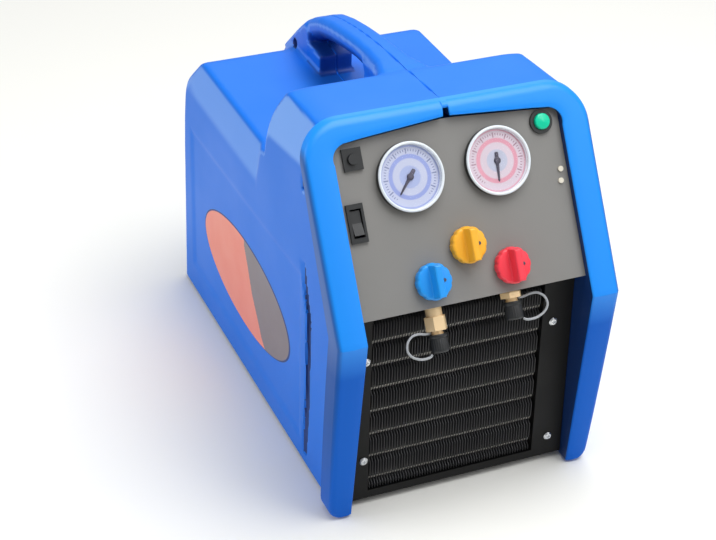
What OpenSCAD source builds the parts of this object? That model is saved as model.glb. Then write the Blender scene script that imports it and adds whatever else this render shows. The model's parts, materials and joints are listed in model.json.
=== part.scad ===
/* [Body] */
// Overall depth, front of the rim to the rear wall
depth = 459; // [452:1:466]
// Width of the front rim, the widest part
rim_w = 264; // [262:1:268]
// Height of the front rim above the floor
rim_h = 358.4; // [356:0.2:362]
// How far the rim stands out past the shell on each side
rim_step = 11; // [10:0.5:12]
// Height of the slanted upper face, from its bend to its top
upper_h = 161.1; // [158:0.1:164]
// Drop from the rim's top to the shell's flat rear top
rear_drop = 82.4; // [79:0.2:88]
// Drop from the rim's top to the raised head behind it
head_drop = 4.4; // [3:0.2:6]
// Wall of the moulded shell
wall = 3; // [2.4:0.2:3.6]
// Height of the rubber feet below the shell's bottom edge
foot_h = 3; // [2:0.5:5]
// Radius of a rubber foot
foot_r = 12; // [9:1:14]
// Thickness of the steel base tray
tray_t = 2; // [1.5:0.5:3]

/* [Front rim] */
// Lean of the upper front face from the vertical
rim_tilt = 31.08; // [29:0.1:33]
// Width of the rim as seen from the front
rim_band = 26.5; // [25:0.5:28]
// Rounding of the rim's outer front edge
rim_round = 5.5; // [4:0.5:10]
// Rounding of the rim's two top corners
rim_corner = 32; // [28:1:44]

/* [Panel] */
// Depth of the panel below the rim's face
panel_recess = 7.9; // [7:0.1:9]
// Thickness of the panel sheet
panel_t = 1.5; // [1.2:0.1:2]
// Slope distance from the bend to the panel's bottom edge
panel_v0 = 20; // [18:0.5:22]
// Length of the flange folded back under the panel
panel_flange = 17.8; // [17:0.1:18]

/* [Gauges] */
// Outer radius of a gauge bezel
gauge_r = 29.85; // [28.5:0.1:31]
// Height of the bezel above the panel
gauge_h = 8; // [6:0.5:10]
// Radius of the gauge can behind the panel
gauge_can_r = 26; // [25:0.5:27]
// Depth of the gauge can behind the panel
gauge_can_d = 26; // [20:1:30]
// Distance of each gauge from the middle
gauge_x = 40.5; // [39:0.5:42]
// Drop of the gauges' middle from the top of the opening, along the slope
gauge_drop = 36; // [34:0.5:38]
// Length of a pointer from its pin
pointer_len = 18; // [14:1:20]

/* [Valves] */
// Radius of a valve knob
knob_r = 17.2; // [15:0.2:18.5]
// Height of a valve knob's skirt
knob_skirt_h = 9; // [7:0.5:11]
// Height of a valve knob over the grip ridge
knob_h = 20; // [17:0.5:22]
// Width of the grip ridge
knob_grip_w = 8; // [6:0.5:10]
// Radius of a valve stem
stem_r = 3.6; // [3:0.1:4]
// Side distance of the two lower knobs
knob_x = 37; // [36:0.5:39]
// Slope position of the two lower knobs
knob_low_v = 42; // [41:0.5:44]
// Slope position of the upper knob
knob_top_v = 66.5; // [65:0.5:68]

/* [Ports] */
// Radius of a port's brass neck
port_r = 7.4; // [6.6:0.2:7.4]
// Across-flats size of the left strainer body
strainer_af = 17; // [15:0.5:18]
// Radius of the flare thread under a cap
flare_r = 5.5; // [5:0.1:6]
// Radius of a port cap
cap_r = 8.2; // [7.6:0.1:8.6]
// Length of a port cap
cap_len = 16.5; // [15:0.5:16.5]

/* [Condenser] */
// Rows of tubes
tube_rows = 8; // [6:1:8]
// Outer radius of a condenser tube
tube_r = 4.76; // [4:0.02:5]
// Pitch of the fins
fin_pitch = 3.5; // [3:0.1:5]
// Thickness of a fin
fin_t = 0.5; // [0.3:0.1:0.8]
// Depth of the fin pack
fin_d = 44; // [40:1:46]
// Edge of the coil left free round the fan
fan_edge = 4.5; // [3:0.5:8]
// Number of fan blades
fan_blades = 5; // [4:1:7]

/* [Controls] */
// Length of the power rocker
rocker_l = 21; // [18:0.5:24]
// Width of the power rocker
rocker_w = 10; // [8:0.5:12]
// Radius of the push button
button_r = 8.4; // [7:0.2:9]
// Travel of the push button
button_travel = 2.5; // [1:0.5:3]
// Radius of an indicator lamp
lamp_r = 2.4; // [2:0.1:3]

/* [Hidden] */
$fn = 48;
// One overrun for every cut
o = 1;
// Running clearance of bores, and the gap between seated pieces of different bodies
run = 0.05;
gap = 0.3;
// Clearance between pieces that sit face to face round a corner
fit = 0.2;

// Derived sizes of the body
rx = rim_w / 2;
sx = rx - rim_step;
in_x = rx - rim_band;
kink_z = rim_h - upper_h;
head_h = rim_h - head_drop;
rear_h = rim_h - rear_drop;
mid_y = depth / 2;
shell_z0 = foot_h;
tray_rise = 2;
tray_z = foot_h + tray_rise;

// Side outline of the shell, as distances back from the front and heights
seam_low_y = 46;
seam_kink_y = 24;
top_d = 9.9;
rim_top_y = upper_h * tan(rim_tilt);
seam_top_y = rim_top_y + top_d;
rear_lean = 15;
bevel_h = 40;
bevel_run = 56;
rear_low_y = depth;
rear_top_y = depth - rear_lean;
rear_top_z = rear_h - bevel_h;
chamfer_y = depth - bevel_run;
crease_rise = 7.7;
low_crease_z = kink_z + crease_rise;
side_bevel_w = 6;
side_bevel_h = 42;
top_crease_x = sx - side_bevel_w;
top_crease_z = rear_h - side_bevel_h;
bottom_in = 1.5;
// Head outline, back from the seam's top and down from the head's top
head_flat = 65;
head_steps = [[0, 0], [14, -23], [32, -48], [36, -104]];
head_rear = [for (p = head_steps) [seam_top_y + head_flat + p[0], p[1]]];
head_cut_x = 18;
head_bevel_x = 4;
head_top_x = sx - head_cut_x;
head_mid_x = sx - head_bevel_x;
head_mid_drop = 9;
head_low_drop = 28;
// Roundings of the moulding
soft_r = 8;
crisp_r = 4;
big_r = 16;
edge_r = 9;
steps = 4;

// Rim sizes
rim_low_y = 22;
rim_arch = 8;
rim_top_band = 20.1;
rim_in_r = 6;
leg_flare = 2;
leg_in = 6;
face_len = upper_h / cos(rim_tilt);
rim_in_top = face_len - rim_top_band;
flange_x = sx - wall - gap;
flange_y = 16;
flange_z0 = 40;
in_low = -bottom_in;
ledge_w = 4;
ledge_t = 3;

// Handle sizes: height below the head, thickness, half width and lean at each share of its run
handle_back = 33;
handle_y = [head_rear[1][0], depth - handle_back];
handle_share = [0, 0.0833, 0.1917, 0.3167, 0.4417, 0.5667, 0.675, 0.775, 0.8583, 0.925, 0.9708, 0.9958, 1];
handle_form = [[-17.5, 32, 24, -2], [-14, 27, 18.5, -3], [-14.5, 23.5, 16.5, -4], [-16.5, 22, 16, -5],
  [-19.5, 22, 16, -7], [-24, 22, 16, -11], [-30.5, 23, 16, -18], [-40, 24, 16.5, -27], [-52, 26, 17.5, -38],
  [-67, 29, 19, -50], [-85, 34, 21.5, -63], [-107, 38, 25, -77], [-130, 38, 27, -84]];
handle_path = [for (i = [0:12]) concat([handle_y[0] + (handle_y[1] - handle_y[0]) * handle_share[i]], handle_form[i])];
handle_edge_r = 7;
// Front root under the grip, and rear root with its step, back from the handle's front end and its rear end
pillar_out = [6, 50, 56, 72];
pillar_y = [for (p = pillar_out) handle_y[0] + p];
pillar_drop = 42;
root_out = [[-90, 18], [-62, 20.5], [-60, 29], [-46, 38], [-14, 26]];
root_w = 17;

// Panel layout
face_w = -panel_recess;
panel_x = in_x - fit;
gauge_seat = face_w;
dial_t = 1;
lens_t = 1.5;
pointer_t = 0.8;
pin_r = 1.2;
gauge_wall = 1.2;
bezel_lip = 2.6;
gauge_rests = [140, 176];
gauge_v = rim_in_top - gauge_drop;
breaker_in = [17.5, 13];
breaker_x = breaker_in[0] - in_x;
breaker_v = rim_in_top - breaker_in[1];
breaker_w = 17;
breaker_h = 19;
breaker_btn_r = 4.5;
rocker_in = [11.5, 66];
rocker_x = rocker_in[0] - in_x;
rocker_v = rim_in_top - rocker_in[1];
rocker_fw = 15;
rocker_fh = 33;
rocker_can = 22;
rocker_axle_r = 1.5;
green_in = [17.5, 10];
green_x = in_x - green_in[0];
green_v = rim_in_top - green_in[1];
green_bezel_r = 10.4;
lamp_in = [[6.5, 53], [8, 63]];
lamp_places = [for (p = lamp_in) [in_x - p[0], rim_in_top - p[1]]];
bezel_h = 2.5;

// Manifold and ports
manifold_edge = 19;
manifold_x = knob_x + manifold_edge;
manifold_v = [31, 82];
manifold_w = [-33, -11];
stem_top = 12;
stem_in = 14;
knob_gap = 1;
port_off = 1;
port_x = [port_off - knob_x, knob_x];
port_w = -18.9;
port_len = [42, 27];
port_cap_v = [-3, 11];
port_bore_r = 2.6;
cap_travel = 14;

// Condenser box
cond_y = 36;
cond_in = [19.5, 30.5];
cond_x = [cond_in[0] - in_x, in_x - cond_in[1]];
cond_rise = [8, 6.7];
cond_z = [tray_z + tray_t + cond_rise[0], kink_z + cond_rise[1]];
row_in = [9.5, 8.7];
row_z0 = cond_z[0] + row_in[0];
tube_pitch = (cond_z[1] - row_in[1] - row_z0) / (tube_rows - 1);
sheet_t = 1.2;
end_gap = 2;
flange_out = in_x - gap;
shroud_y = cond_y + fin_d + sheet_t * 3;
fan_back = 14;
fan_y = shroud_y + fan_back;
fan_r = min(cond_x[1] - cond_x[0], cond_z[1] - cond_z[0]) / 2 - fan_edge;
fan_rise = 2.5;
fan_z = (cond_z[0] + cond_z[1]) / 2 + fan_rise;
fan_x = (cond_x[0] + cond_x[1]) / 2;
hub_r = 20;
fan_hub_l = 16;
fan_motor_r = 30;
fan_motor_l = 46;
hub_gap = 6;
fan_motor_y = fan_y + fan_hub_l + hub_gap;

// Compressor
comp_gap = 38;
comp_y0 = fan_motor_y + fan_motor_l + comp_gap;
comp_shares = [0.376, 0.329];
motor_l = (depth - comp_y0) * comp_shares[0];
case_l = (depth - comp_y0) * comp_shares[1];
comp_y = comp_y0 + motor_l;
comp_x = 0;
comp_z = 92;
motor_r = 52;
case_w = 96;
head_r = 34;
head_l = 46;

// Outline helpers
function unit(v) = v / norm(v);
function corner(a, p, b, r, n) = let (u = unit(a - p), w = unit(b - p), h = acos(u * w) / 2)
  let (c = p + unit(u + w) * r / sin(h), s = p + u * r / tan(h) - c, e = p + w * r / tan(h) - c)
  let (a0 = atan2(s[1], s[0]), d0 = atan2(e[1], e[0]) - a0)
  let (d = d0 > 180 ? d0 - 360 : d0 < -180 ? d0 + 360 : d0)
  [for (i = [0:n]) c + r * [cos(a0 + d * i / n), sin(a0 + d * i / n)]];
function rounded(p, r, n) = [for (i = [0:len(p) - 1]) each r[i] <= 0 ? [p[i]] :
  corner(p[(i + len(p) - 1) % len(p)], p[i], p[(i + 1) % len(p)], r[i], n)];
function mirrored(p) = concat(p, [for (i = [len(p) - 1:-1:0]) [-p[i][0], p[i][1]]]);
function same(n, r) = [for (i = [1:n]) r];

module at_front() { translate([0, -mid_y, 0]) children(); }
module on_face(x, v, w) {
  at_front() translate([0, 0, kink_z]) rotate([90 - rim_tilt, 0, 0]) translate([x, v, w]) children();
}
module across(w) { rotate([90, 0, 90]) linear_extrude(height = w, center = true) children(); }
module along(y0, y1) {
  translate([0, y1, 0]) rotate([90, 0, 0]) linear_extrude(height = y1 - y0) children();
}
module hull_of(pts) { hull() polyhedron(points = pts, faces = [[for (i = [0:len(pts) - 1]) i]]); }

// Side view of the shell behind the seam, inset by a wall
module shell_side(t) {
  polygon(rounded([[seam_low_y - o, shell_z0 - o], [rear_low_y - t, shell_z0 - o],
    [rear_top_y - t, rear_top_z - t / 2], [chamfer_y - t / 2, rear_h - t], [seam_kink_y, rear_h - t],
    [seam_kink_y - o, kink_z]], [0, 0, big_r, big_r, 0, 0], steps));
}
module shell_front(t) {
  polygon(rounded(mirrored([[sx - bottom_in - t, t > 0 ? -o : shell_z0], [sx - t, low_crease_z],
    [sx - t, top_crease_z], [top_crease_x - t, rear_h - t]]),
    [0, soft_r, soft_r, crisp_r, crisp_r, soft_r, soft_r, 0], steps));
}
module head_side(t) {
  polygon(concat([[seam_kink_y, kink_z], [seam_kink_y, head_h - t]],
    [for (p = head_rear) [p[0] - t, head_h + p[1] - (p[1] < 0 ? 0 : t)]], [[head_rear[3][0] - t, kink_z]]));
}
module head_front(t) {
  polygon(rounded(mirrored([[sx - t, kink_z - o], [sx - t, head_h - head_low_drop],
    [head_mid_x - t, head_h - head_mid_drop - t / 2], [head_top_x - t / 2, head_h - t]]),
    [0, soft_r, crisp_r, soft_r, soft_r, crisp_r, soft_r, 0], steps));
}
module shell_plan(t) {
  polygon(rounded([[-sx + t, 0], [sx - t, 0], [sx - t, depth - t], [-sx + t, depth - t]],
    [0, 0, edge_r - t, edge_r - t], steps));
}
module body_form(t) {
  intersection() {
    across(rim_w) shell_side(t);
    along(0, depth) shell_front(t);
    translate([0, 0, -o]) linear_extrude(height = head_h) shell_plan(t);
  }
}
module head_form(t) {
  intersection() {
    across(rim_w) head_side(t);
    along(0, depth) head_front(t);
  }
}
// Everything in front of the seam is taken by the rim
module seam_cut() {
  across(rim_w + o) polygon([[-o, -o], [seam_low_y, -o], [seam_low_y, foot_h], [seam_kink_y, kink_z],
    [seam_top_y, rim_h], [-o, rim_h]]);
}
function oval(w, t, r, n) = rounded([[-w, -t / 2], [w, -t / 2], [w, t / 2], [-w, t / 2]], same(4, r), n);
function ring(s) = [for (p = oval(s[3], s[2], handle_edge_r, steps))
  [p[0], s[0] - p[1] * sin(s[4]), head_h + s[1] + p[1] * cos(s[4])]];
module handle() {
  for (i = [0:len(handle_path) - 2]) hull_of(concat(ring(handle_path[i]), ring(handle_path[i + 1])));
  across(handle_path[2][3] * 2) polygon(rounded([[pillar_y[0], rear_h - wall], [pillar_y[2], rear_h - wall],
    [pillar_y[1], head_h - pillar_drop], [pillar_y[3], head_h + handle_path[3][1]], [pillar_y[0], head_h + handle_path[2][1]]],
    [0, 0, big_r, 0, 0], steps));
  across(root_w * 2) polygon(concat([[handle_y[1] + root_out[0][0], rear_h - wall]],
    [for (p = root_out) [handle_y[1] + p[0], rear_h + p[1]]], [[handle_y[1] + root_out[4][0], rear_h - wall]]));
}
// Vertical groove behind the rim
groove_shares = [[2.348, 1.11], [2.022, 0.8464], [2.087, 0.3903], [2.239, 0.0659]];
groove = [for (p = groove_shares) [p[0] * seam_low_y, p[1] * kink_z]];
groove_w = 11;
groove_d = 2;
module side_groove() {
  for (m = [-1, 1]) translate([m * sx, 0, 0]) across(groove_d * 2) polygon(concat(
    [for (p = groove) p], [for (i = [3:-1:0]) [groove[i][0] + groove_w, groove[i][1]]]));
}
// Soft step of the lower side panel
step_d = 1.5;
step_shares = [[0.2484, 1.0441], [0.549, 1.0188], [0.9237, 0.9985], [0.9368, 0.1521], [0.2571, 0.1115]];
step_pts = [for (p = step_shares) [p[0] * depth, p[1] * kink_z]];
module side_step() {
  for (m = [-1, 1]) translate([m * sx, 0, 0])
    across(step_d * 2) polygon(rounded(step_pts, same(5, soft_r), steps));
}
// Rear vent slots
vent_rows = 9;
vent_z0 = 60;
vent_top_gap = 41;
vent_pitch = (rear_top_z - vent_z0 - vent_top_gap) / vent_rows;
vent_h = 6;
vent_x = [14, 92];
module rear_vents() {
  for (i = [0:vent_rows - 1]) for (m = [0, 1]) mirror([m, 0, 0])
    translate([vent_x[0], depth - big_r * 2, vent_z0 + i * vent_pitch])
      cube([vent_x[1] - vent_x[0], big_r * 3, vent_h]);
}
// Power inlet cut-out
inlet_x = 60;
inlet_z = 30;
inlet_w = 27;
inlet_h = 20;
module inlet_hole() {
  translate([inlet_x - inlet_w / 2, depth - big_r * 2, inlet_z - inlet_h / 2]) cube([inlet_w, big_r * 3, inlet_h]);
}
// Label recess on the left side
label_shares = [0.5839, 0.522, 0.27, 0.261];
label_y = label_shares[0] * depth;
label_z = label_shares[1] * kink_z;
label_a = label_shares[2] * depth;
label_b = label_shares[3] * kink_z;
label_d = 0.8;
module label_outline(t) { scale_share = (label_b - t) / (label_a - t);
  polygon([for (i = [0:59]) [(label_a - t) * cos(6 * i), (label_a - t) * scale_share * sin(6 * i)]]); }
module label_recess() {
  translate([-sx + step_d, label_y, label_z]) across(label_d * 2) label_outline(0);
}
// Screw pockets of the shell
shell_screw_in = [[5, -58], [-43, -127]];
shell_screw_places = [for (p = shell_screw_in) [seam_top_y + p[0], head_h + p[1]]];
screw_r = 2.6;
screw_head_r = 4;
screw_head_h = 2;
root_screw_d = 6;
root_screw_in = [-38, 12];
root_screw = [handle_y[1] + root_screw_in[0], rear_h + root_screw_in[1]];
module shell_screw_cuts() {
  for (m = [-1, 1]) for (p = shell_screw_places) translate([m * sx, p[0], p[1]])
    rotate([0, 90, 0]) cylinder(r = screw_head_r + fit, h = screw_head_h * 2, center = true);
  translate([-root_w * 2, root_screw[0], root_screw[1]]) rotate([0, 90, 0])
    cylinder(r = screw_head_r + fit, h = root_w + root_screw_d);
}
module shell_all() {
  difference() {
    union() {
      difference() {
        union() { body_form(0); head_form(0); }
        union() { body_form(wall); head_form(wall); }
        seam_cut();
      }
      handle();
    }
    side_groove();
    side_step();
    rear_vents();
    inlet_hole();
    label_recess();
    shell_screw_cuts();
  }
}
module half(m) {
  intersection() {
    shell_all();
    translate([m * rim_w / 2, depth / 2, head_h / 2]) cube([rim_w, depth * 2, head_h * 2], center = true);
  }
}
module left_shell() { color("#1f6ff0") at_front() half(-1); }
module right_shell() { color("#1f6ff0") at_front() half(1); }

// Section of the rim band: inward distance and depth behind the face
function rim_section(w, d) = rounded([[0, d], [0, 0], [w, 0], [w, d]], [0, rim_round, crisp_r, 0], steps + 1);
// Stations round the rim: outer point, inward direction, face normal, band width, depth
arc_n = 6;
kink_d = seam_kink_y;
low_d = (seam_low_y - rim_low_y);
function slope_pt(x, v) = [x, v * sin(rim_tilt), kink_z + v * cos(rim_tilt)];
corner_v = face_len - rim_corner;
function depth_at(v) = kink_d + (top_d - kink_d) * v / face_len;
rim_stations = concat(
  [[[-rx + leg_in, rim_low_y, foot_h], [1, 0, 0], 0, rim_band - leg_in - leg_flare, low_d],
   [[-rx, 0, kink_z], [1, 0, 0], 0, rim_band, kink_d],
   [slope_pt(-rx, corner_v / 2), [1, 0, 0], 0, rim_band, depth_at(corner_v / 2)]],
  [for (i = [0:arc_n]) let (a = 90 * i / arc_n)
    [slope_pt(-rx + rim_corner - rim_corner * cos(a), corner_v + rim_corner * sin(a)),
     [cos(a), -sin(a) * sin(rim_tilt), -sin(a) * cos(rim_tilt)], 0,
     rim_band + (rim_top_band - rim_band) * i / arc_n, depth_at(corner_v + rim_corner * sin(a))]],
  [[slope_pt(0, face_len), [0, -sin(rim_tilt), -cos(rim_tilt)], 0, rim_top_band - rim_arch, top_d]]);
function rim_ring(s) = [for (q = rim_section(s[3], s[4])) s[0] + s[1] * q[0] + [0, q[1], 0]];
function flip(r) = [for (p = r) [-p[0], p[1], p[2]]];
rim_half = [for (s = rim_stations) rim_ring(s)];
// One skin through all the rings, closed at both ends
module skin(rings) {
  n = len(rings[0]);
  m = len(rings);
  polyhedron(points = [for (r = rings) each r], faces = concat(
    [[for (k = [0:n - 1]) k]],
    [for (i = [0:m - 2]) for (k = [0:n - 1]) each [
      [i * n + k, i * n + n + k, i * n + (k + 1) % n], [i * n + (k + 1) % n, i * n + n + k, i * n + n + (k + 1) % n]]],
    [[for (k = [n - 1:-1:0]) (m - 1) * n + k]]));
}
module rim_band_skin() {
  skin(concat(rim_half, [for (i = [len(rim_half) - 2:-1:0]) flip(rim_half[i])]));
}
// Opening through the rim, in the slanted face and in the lower front
module face_opening(t) {
  polygon(rounded([[-in_x + t, -rim_recess], [in_x - t, -rim_recess], [in_x - t, rim_in_top - t],
    [0, rim_in_top + rim_arch - t], [-in_x + t, rim_in_top - t]],
    [0, 0, rim_in_r, rim_corner * 4, rim_in_r], steps));
}
rim_recess = 12;
// Small slot in the band at the top of the opening
rim_slot = [5.5, 7];
module face_slab(w0, w1) { on_face(0, 0, w0) linear_extrude(height = w1 - w0) children(); }
module front_frame() {
  color("#2a86ff") {
    at_front() rim_band_skin();
    difference() {
      at_front() intersection() {
        across(rim_w) polygon([[rim_low_y + crisp_r, foot_h], [crisp_r, kink_z], [rim_top_y, rim_h - crisp_r * 2],
          [seam_top_y + flange_y, head_h - wall - gap], [seam_kink_y + flange_y, kink_z],
          [seam_low_y + flange_y / 2, foot_h]]);
        along(0, depth) polygon(rounded([[gap - flange_x - in_low, flange_z0], [flange_x + in_low - gap, flange_z0], [flange_x, low_crease_z], [flange_x, head_h - head_low_drop],
          [head_mid_x - wall - gap, head_h - head_mid_drop - wall], [head_top_x - wall, head_h - wall - gap],
          [-head_top_x + wall, head_h - wall - gap], [-head_mid_x + wall + gap, head_h - head_mid_drop - wall],
          [-flange_x, head_h - head_low_drop], [-flange_x, low_crease_z]],
          [0, 0, 0, soft_r, crisp_r, soft_r, soft_r, crisp_r, soft_r, 0], steps));
      }
      face_slab(face_w - panel_t, o) face_opening(0);
      face_slab(-depth / 4, o) face_opening(ledge_w);
      on_face(green_x, green_v, -depth / 4) cylinder(r = button_r, h = depth / 4);
      on_face(-rim_slot[0] / 2, rim_in_top + rim_arch / 2, face_w)
        cube([rim_slot[0], rim_slot[1] + rim_arch / 2, panel_recess + o]);
      at_front() along(-o, seam_low_y * 2) polygon([[-in_x - leg_flare, -o], [in_x + leg_flare, -o],
        [in_x, kink_z], [in_x, kink_z + panel_v0 / 2], [-in_x, kink_z + panel_v0 / 2], [-in_x, kink_z]]);
      at_front() along(cond_y, seam_low_y * 2) translate([-bend_reach, -o]) square([bend_reach * 2, kink_z]);
    }
  }
}
// Steel tray that carries the machine, with upturned edges
tray_x = sx - wall - bottom_in - gap;
tray_y = [seam_low_y + gap, depth - wall * 2];
tray_lip = 12;
foot_in = [29, 38, 35];
foot_places = [for (m = [-1, 1]) for (y = [seam_low_y + foot_in[1], depth - foot_in[2]]) [m * (sx - foot_in[0]), y]];
module tray_outline(t) {
  polygon(rounded([[-tray_x + t, tray_y[0] - (t > 0 ? o : 0)], [tray_x - t, tray_y[0] - (t > 0 ? o : 0)],
    [tray_x - t, tray_y[1] - t], [-tray_x + t, tray_y[1] - t]], [0, 0, big_r, big_r], steps));
}
module base_tray() {
  color("#2b2c2e") at_front() difference() {
    translate([0, 0, tray_z]) linear_extrude(height = tray_lip) tray_outline(0);
    translate([0, 0, tray_z + tray_t]) linear_extrude(height = tray_lip) tray_outline(tray_t);
    for (p = foot_places) translate([p[0], p[1], 0]) cylinder(r = screw_r, h = depth);
  }
}
module rubber_feet() {
  color("#1b1b1c") at_front() for (p = foot_places) translate([p[0], p[1], 0]) difference() {
    cylinder(r = foot_r, h = tray_z);
    translate([0, 0, -o]) cylinder(r = screw_head_r + fit, h = tray_z / 2 + o);
    cylinder(r = screw_r, h = tray_z + o);
  }
}
module side_label() {
  color("#f08a78") at_front() translate([-sx + step_d + label_d / 2, label_y, label_z]) across(label_d)
    label_outline(fit);
}
// Panel with the flange folded back under it
panel_open = face_len - rim_in_top;
module panel_face() {
  intersection() {
    face_opening(fit);
    translate([-panel_x, panel_v0]) square([panel_x * 2, face_len]);
  }
}
module control_panel() {
  color("#6e6d6b") difference() {
    union() {
      face_slab(face_w - panel_t, face_w) panel_face();
      on_face(-panel_x + ledge_w, panel_v0, face_w - panel_t - panel_flange)
        cube([(panel_x - ledge_w) * 2, panel_t, panel_flange + panel_t]);
    }
    for (m = [-1, 1]) on_face(m * gauge_x, gauge_v, face_w - panel_t - o)
      cylinder(r = gauge_can_r + gap, h = panel_t + o * 2);
    for (k = knob_places) on_face(k[0], k[1], face_w - panel_t - o) cylinder(r = bush_r + fit, h = panel_t + o * 2);
    on_face(breaker_x, breaker_v, face_w - panel_t / 2)
      cube([breaker_w - bezel_h, breaker_h - bezel_h, panel_t * 2], center = true);
    on_face(rocker_x, rocker_v, face_w - panel_t / 2)
      cube([rocker_fw - bezel_h, rocker_fh - bezel_h, panel_t * 2], center = true);
    on_face(green_x, green_v, face_w - panel_t - o) cylinder(r = button_r, h = panel_t + o * 2);
    for (p = lamp_places) on_face(p[0], p[1], face_w - panel_t - o) cylinder(r = lamp_r + run, h = panel_t + o * 2);
    for (i = [0, 1]) on_face(port_x[i], panel_v0 - o, port_w) rotate([-90, 0, 0])
      cylinder(r = port_r + gap, h = panel_t + o * 2);
  }
}
// Gauges
module gauge_case(m) {
  color("#e9ebee") on_face(m * gauge_x, gauge_v, gauge_seat) rotate_extrude()
    polygon([[0, -gauge_can_d], [gauge_can_r, -gauge_can_d], [gauge_can_r, 0], [gauge_r - gauge_wall, 0],
      [gauge_r, gauge_wall], [gauge_r, gauge_h - gauge_wall * 2], [gauge_r - gauge_wall * 2, gauge_h],
      [gauge_r - bezel_lip * 2, gauge_h], [gauge_r - bezel_lip * 2, gauge_h - gauge_wall],
      [gauge_r - bezel_lip, gauge_h - gauge_wall], [gauge_r - bezel_lip, 0],
      [gauge_can_r - gauge_wall, 0], [gauge_can_r - gauge_wall, gauge_wall - gauge_can_d],
      [0, gauge_wall - gauge_can_d]]);
}
lens_r = gauge_r - bezel_lip - fit;
dial_z = gauge_h - gauge_wall - lens_t - 3.6;
module gauge_dial(m) {
  color("#f4f6fa") on_face(m * gauge_x, gauge_v, gauge_seat + dial_z) {
    difference() { cylinder(r = lens_r, h = dial_t); translate([0, 0, -o]) cylinder(r = pin_r, h = dial_t + o * 2); }
    translate([0, 0, -gauge_can_d / 2]) cylinder(r = pin_r, h = gauge_can_d / 2 + dial_t + pointer_t + gap * 2);
  }
}
module gauge_pointer(m, c) {
  color(c) on_face(m * gauge_x, gauge_v, gauge_seat + dial_z + dial_t + gap) rotate([0, 0, gauge_rests[m < 0 ? 0 : 1]]) difference() {
    union() {
      cylinder(r = pin_r * 2.2, h = pointer_t);
      linear_extrude(height = pointer_t) polygon([[-pin_r, 0], [-pin_r / 3, pointer_len], [pin_r / 3, pointer_len],
        [pin_r, 0], [pin_r, -pointer_len / 3], [-pin_r, -pointer_len / 3]]);
    }
    translate([0, 0, -o]) cylinder(r = pin_r + run, h = pointer_t + o * 2);
  }
}
module gauge_lens(m) {
  color("#dfe8ee", 0.35) on_face(m * gauge_x, gauge_v, gauge_seat + gauge_h - gauge_wall - lens_t)
    cylinder(r = lens_r, h = lens_t);
}
// Valve knobs, stems and the brass manifold behind the panel
knob_places = [[-knob_x, knob_low_v], [0, knob_top_v], [knob_x, knob_low_v]];
bush_r = 7;
knob_z = face_w + knob_gap;
module knob(p, c) {
  color(c) on_face(p[0], p[1], knob_z) difference() {
    union() {
      difference() {
        cylinder(r = knob_r, h = knob_skirt_h);
        for (i = [0:11]) rotate([0, 0, 30 * i + 15]) translate([knob_r * 1.06, 0, -o])
          cylinder(r = knob_r * 0.14, h = knob_skirt_h + o * 2, $fn = 24);
      }
      translate([-knob_grip_w / 2, -knob_r * 0.9, 0]) cube([knob_grip_w, knob_r * 1.8, knob_h]);
    }
    translate([0, 0, -o]) cylinder(r = stem_r + run, h = stem_top + o);
  }
}
module stem(p) {
  color("#c9a24a") on_face(p[0], p[1], 0) translate([0, 0, manifold_w[1] - stem_in + gap])
    cylinder(r = stem_r, h = knob_z - manifold_w[1] + stem_in + stem_top - gap * 2);
}
module valve_manifold() {
  color("#c8a45c") difference() {
    union() {
      on_face(-manifold_x, manifold_v[0], manifold_w[0])
        cube([manifold_x * 2, manifold_v[1] - manifold_v[0], manifold_w[1] - manifold_w[0]]);
      for (p = knob_places) on_face(p[0], p[1], manifold_w[1] - o) cylinder(r = bush_r, h = face_w - manifold_w[1] + o);
    }
    for (p = knob_places) on_face(p[0], p[1], manifold_w[1] - stem_in)
      cylinder(r = stem_r + run, h = stem_in - manifold_w[1] + o);
    for (i = [0, 1]) on_face(port_x[i], manifold_v[0] - o, port_w) rotate([-90, 0, 0])
      cylinder(r = flare_r, h = port_seat + o);
  }
}
port_seat = 6;
// A port runs down from the manifold: spigot, neck, flats and flare thread
module port(i) {
  len_neck = manifold_v[0] - port_cap_v[i];
  color("#cdb07c") on_face(port_x[i], manifold_v[0], port_w) rotate([90, 0, 0]) difference() {
    union() {
      translate([0, 0, -port_seat]) cylinder(r = flare_r, h = port_seat + o);
      cylinder(r = port_r - fit, h = len_neck - neck_l);
      translate([0, 0, len_neck - hex_ls[i] - neck_l]) cylinder(r = strainer_af / 2 / cos(30), h = hex_ls[i], $fn = 6);
      translate([0, 0, len_neck - neck_l]) cylinder(r = flare_r - o / 2, h = neck_l);
      translate([0, 0, len_neck - o / 2]) cylinder(r = flare_r, h = cap_len * 0.66);
    }
    translate([0, 0, -port_seat - o]) cylinder(r = port_bore_r, h = manifold_v[0] * 4);
  }
}
neck_l = 3;
hex_ls = [12, 5];
// Cap with its grip rings, over the flare thread
module cap(i) {
  color("#1d1d1f") on_face(port_x[i], port_cap_v[i] - gap, port_w) rotate([90, 0, 0]) difference() {
    union() {
      rotate_extrude() polygon([[0, 0], [cap_r, 0], [cap_r, cap_len * 0.3], [cap_r * 0.9, cap_len * 0.36],
        [cap_r, cap_len * 0.42], [cap_r, cap_len * 0.86], [cap_r * 0.75, cap_len], [0, cap_len]]);
    }
    translate([0, 0, -o]) cylinder(r = flare_r + run, h = cap_len * 0.7 + o);
  }
}
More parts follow.
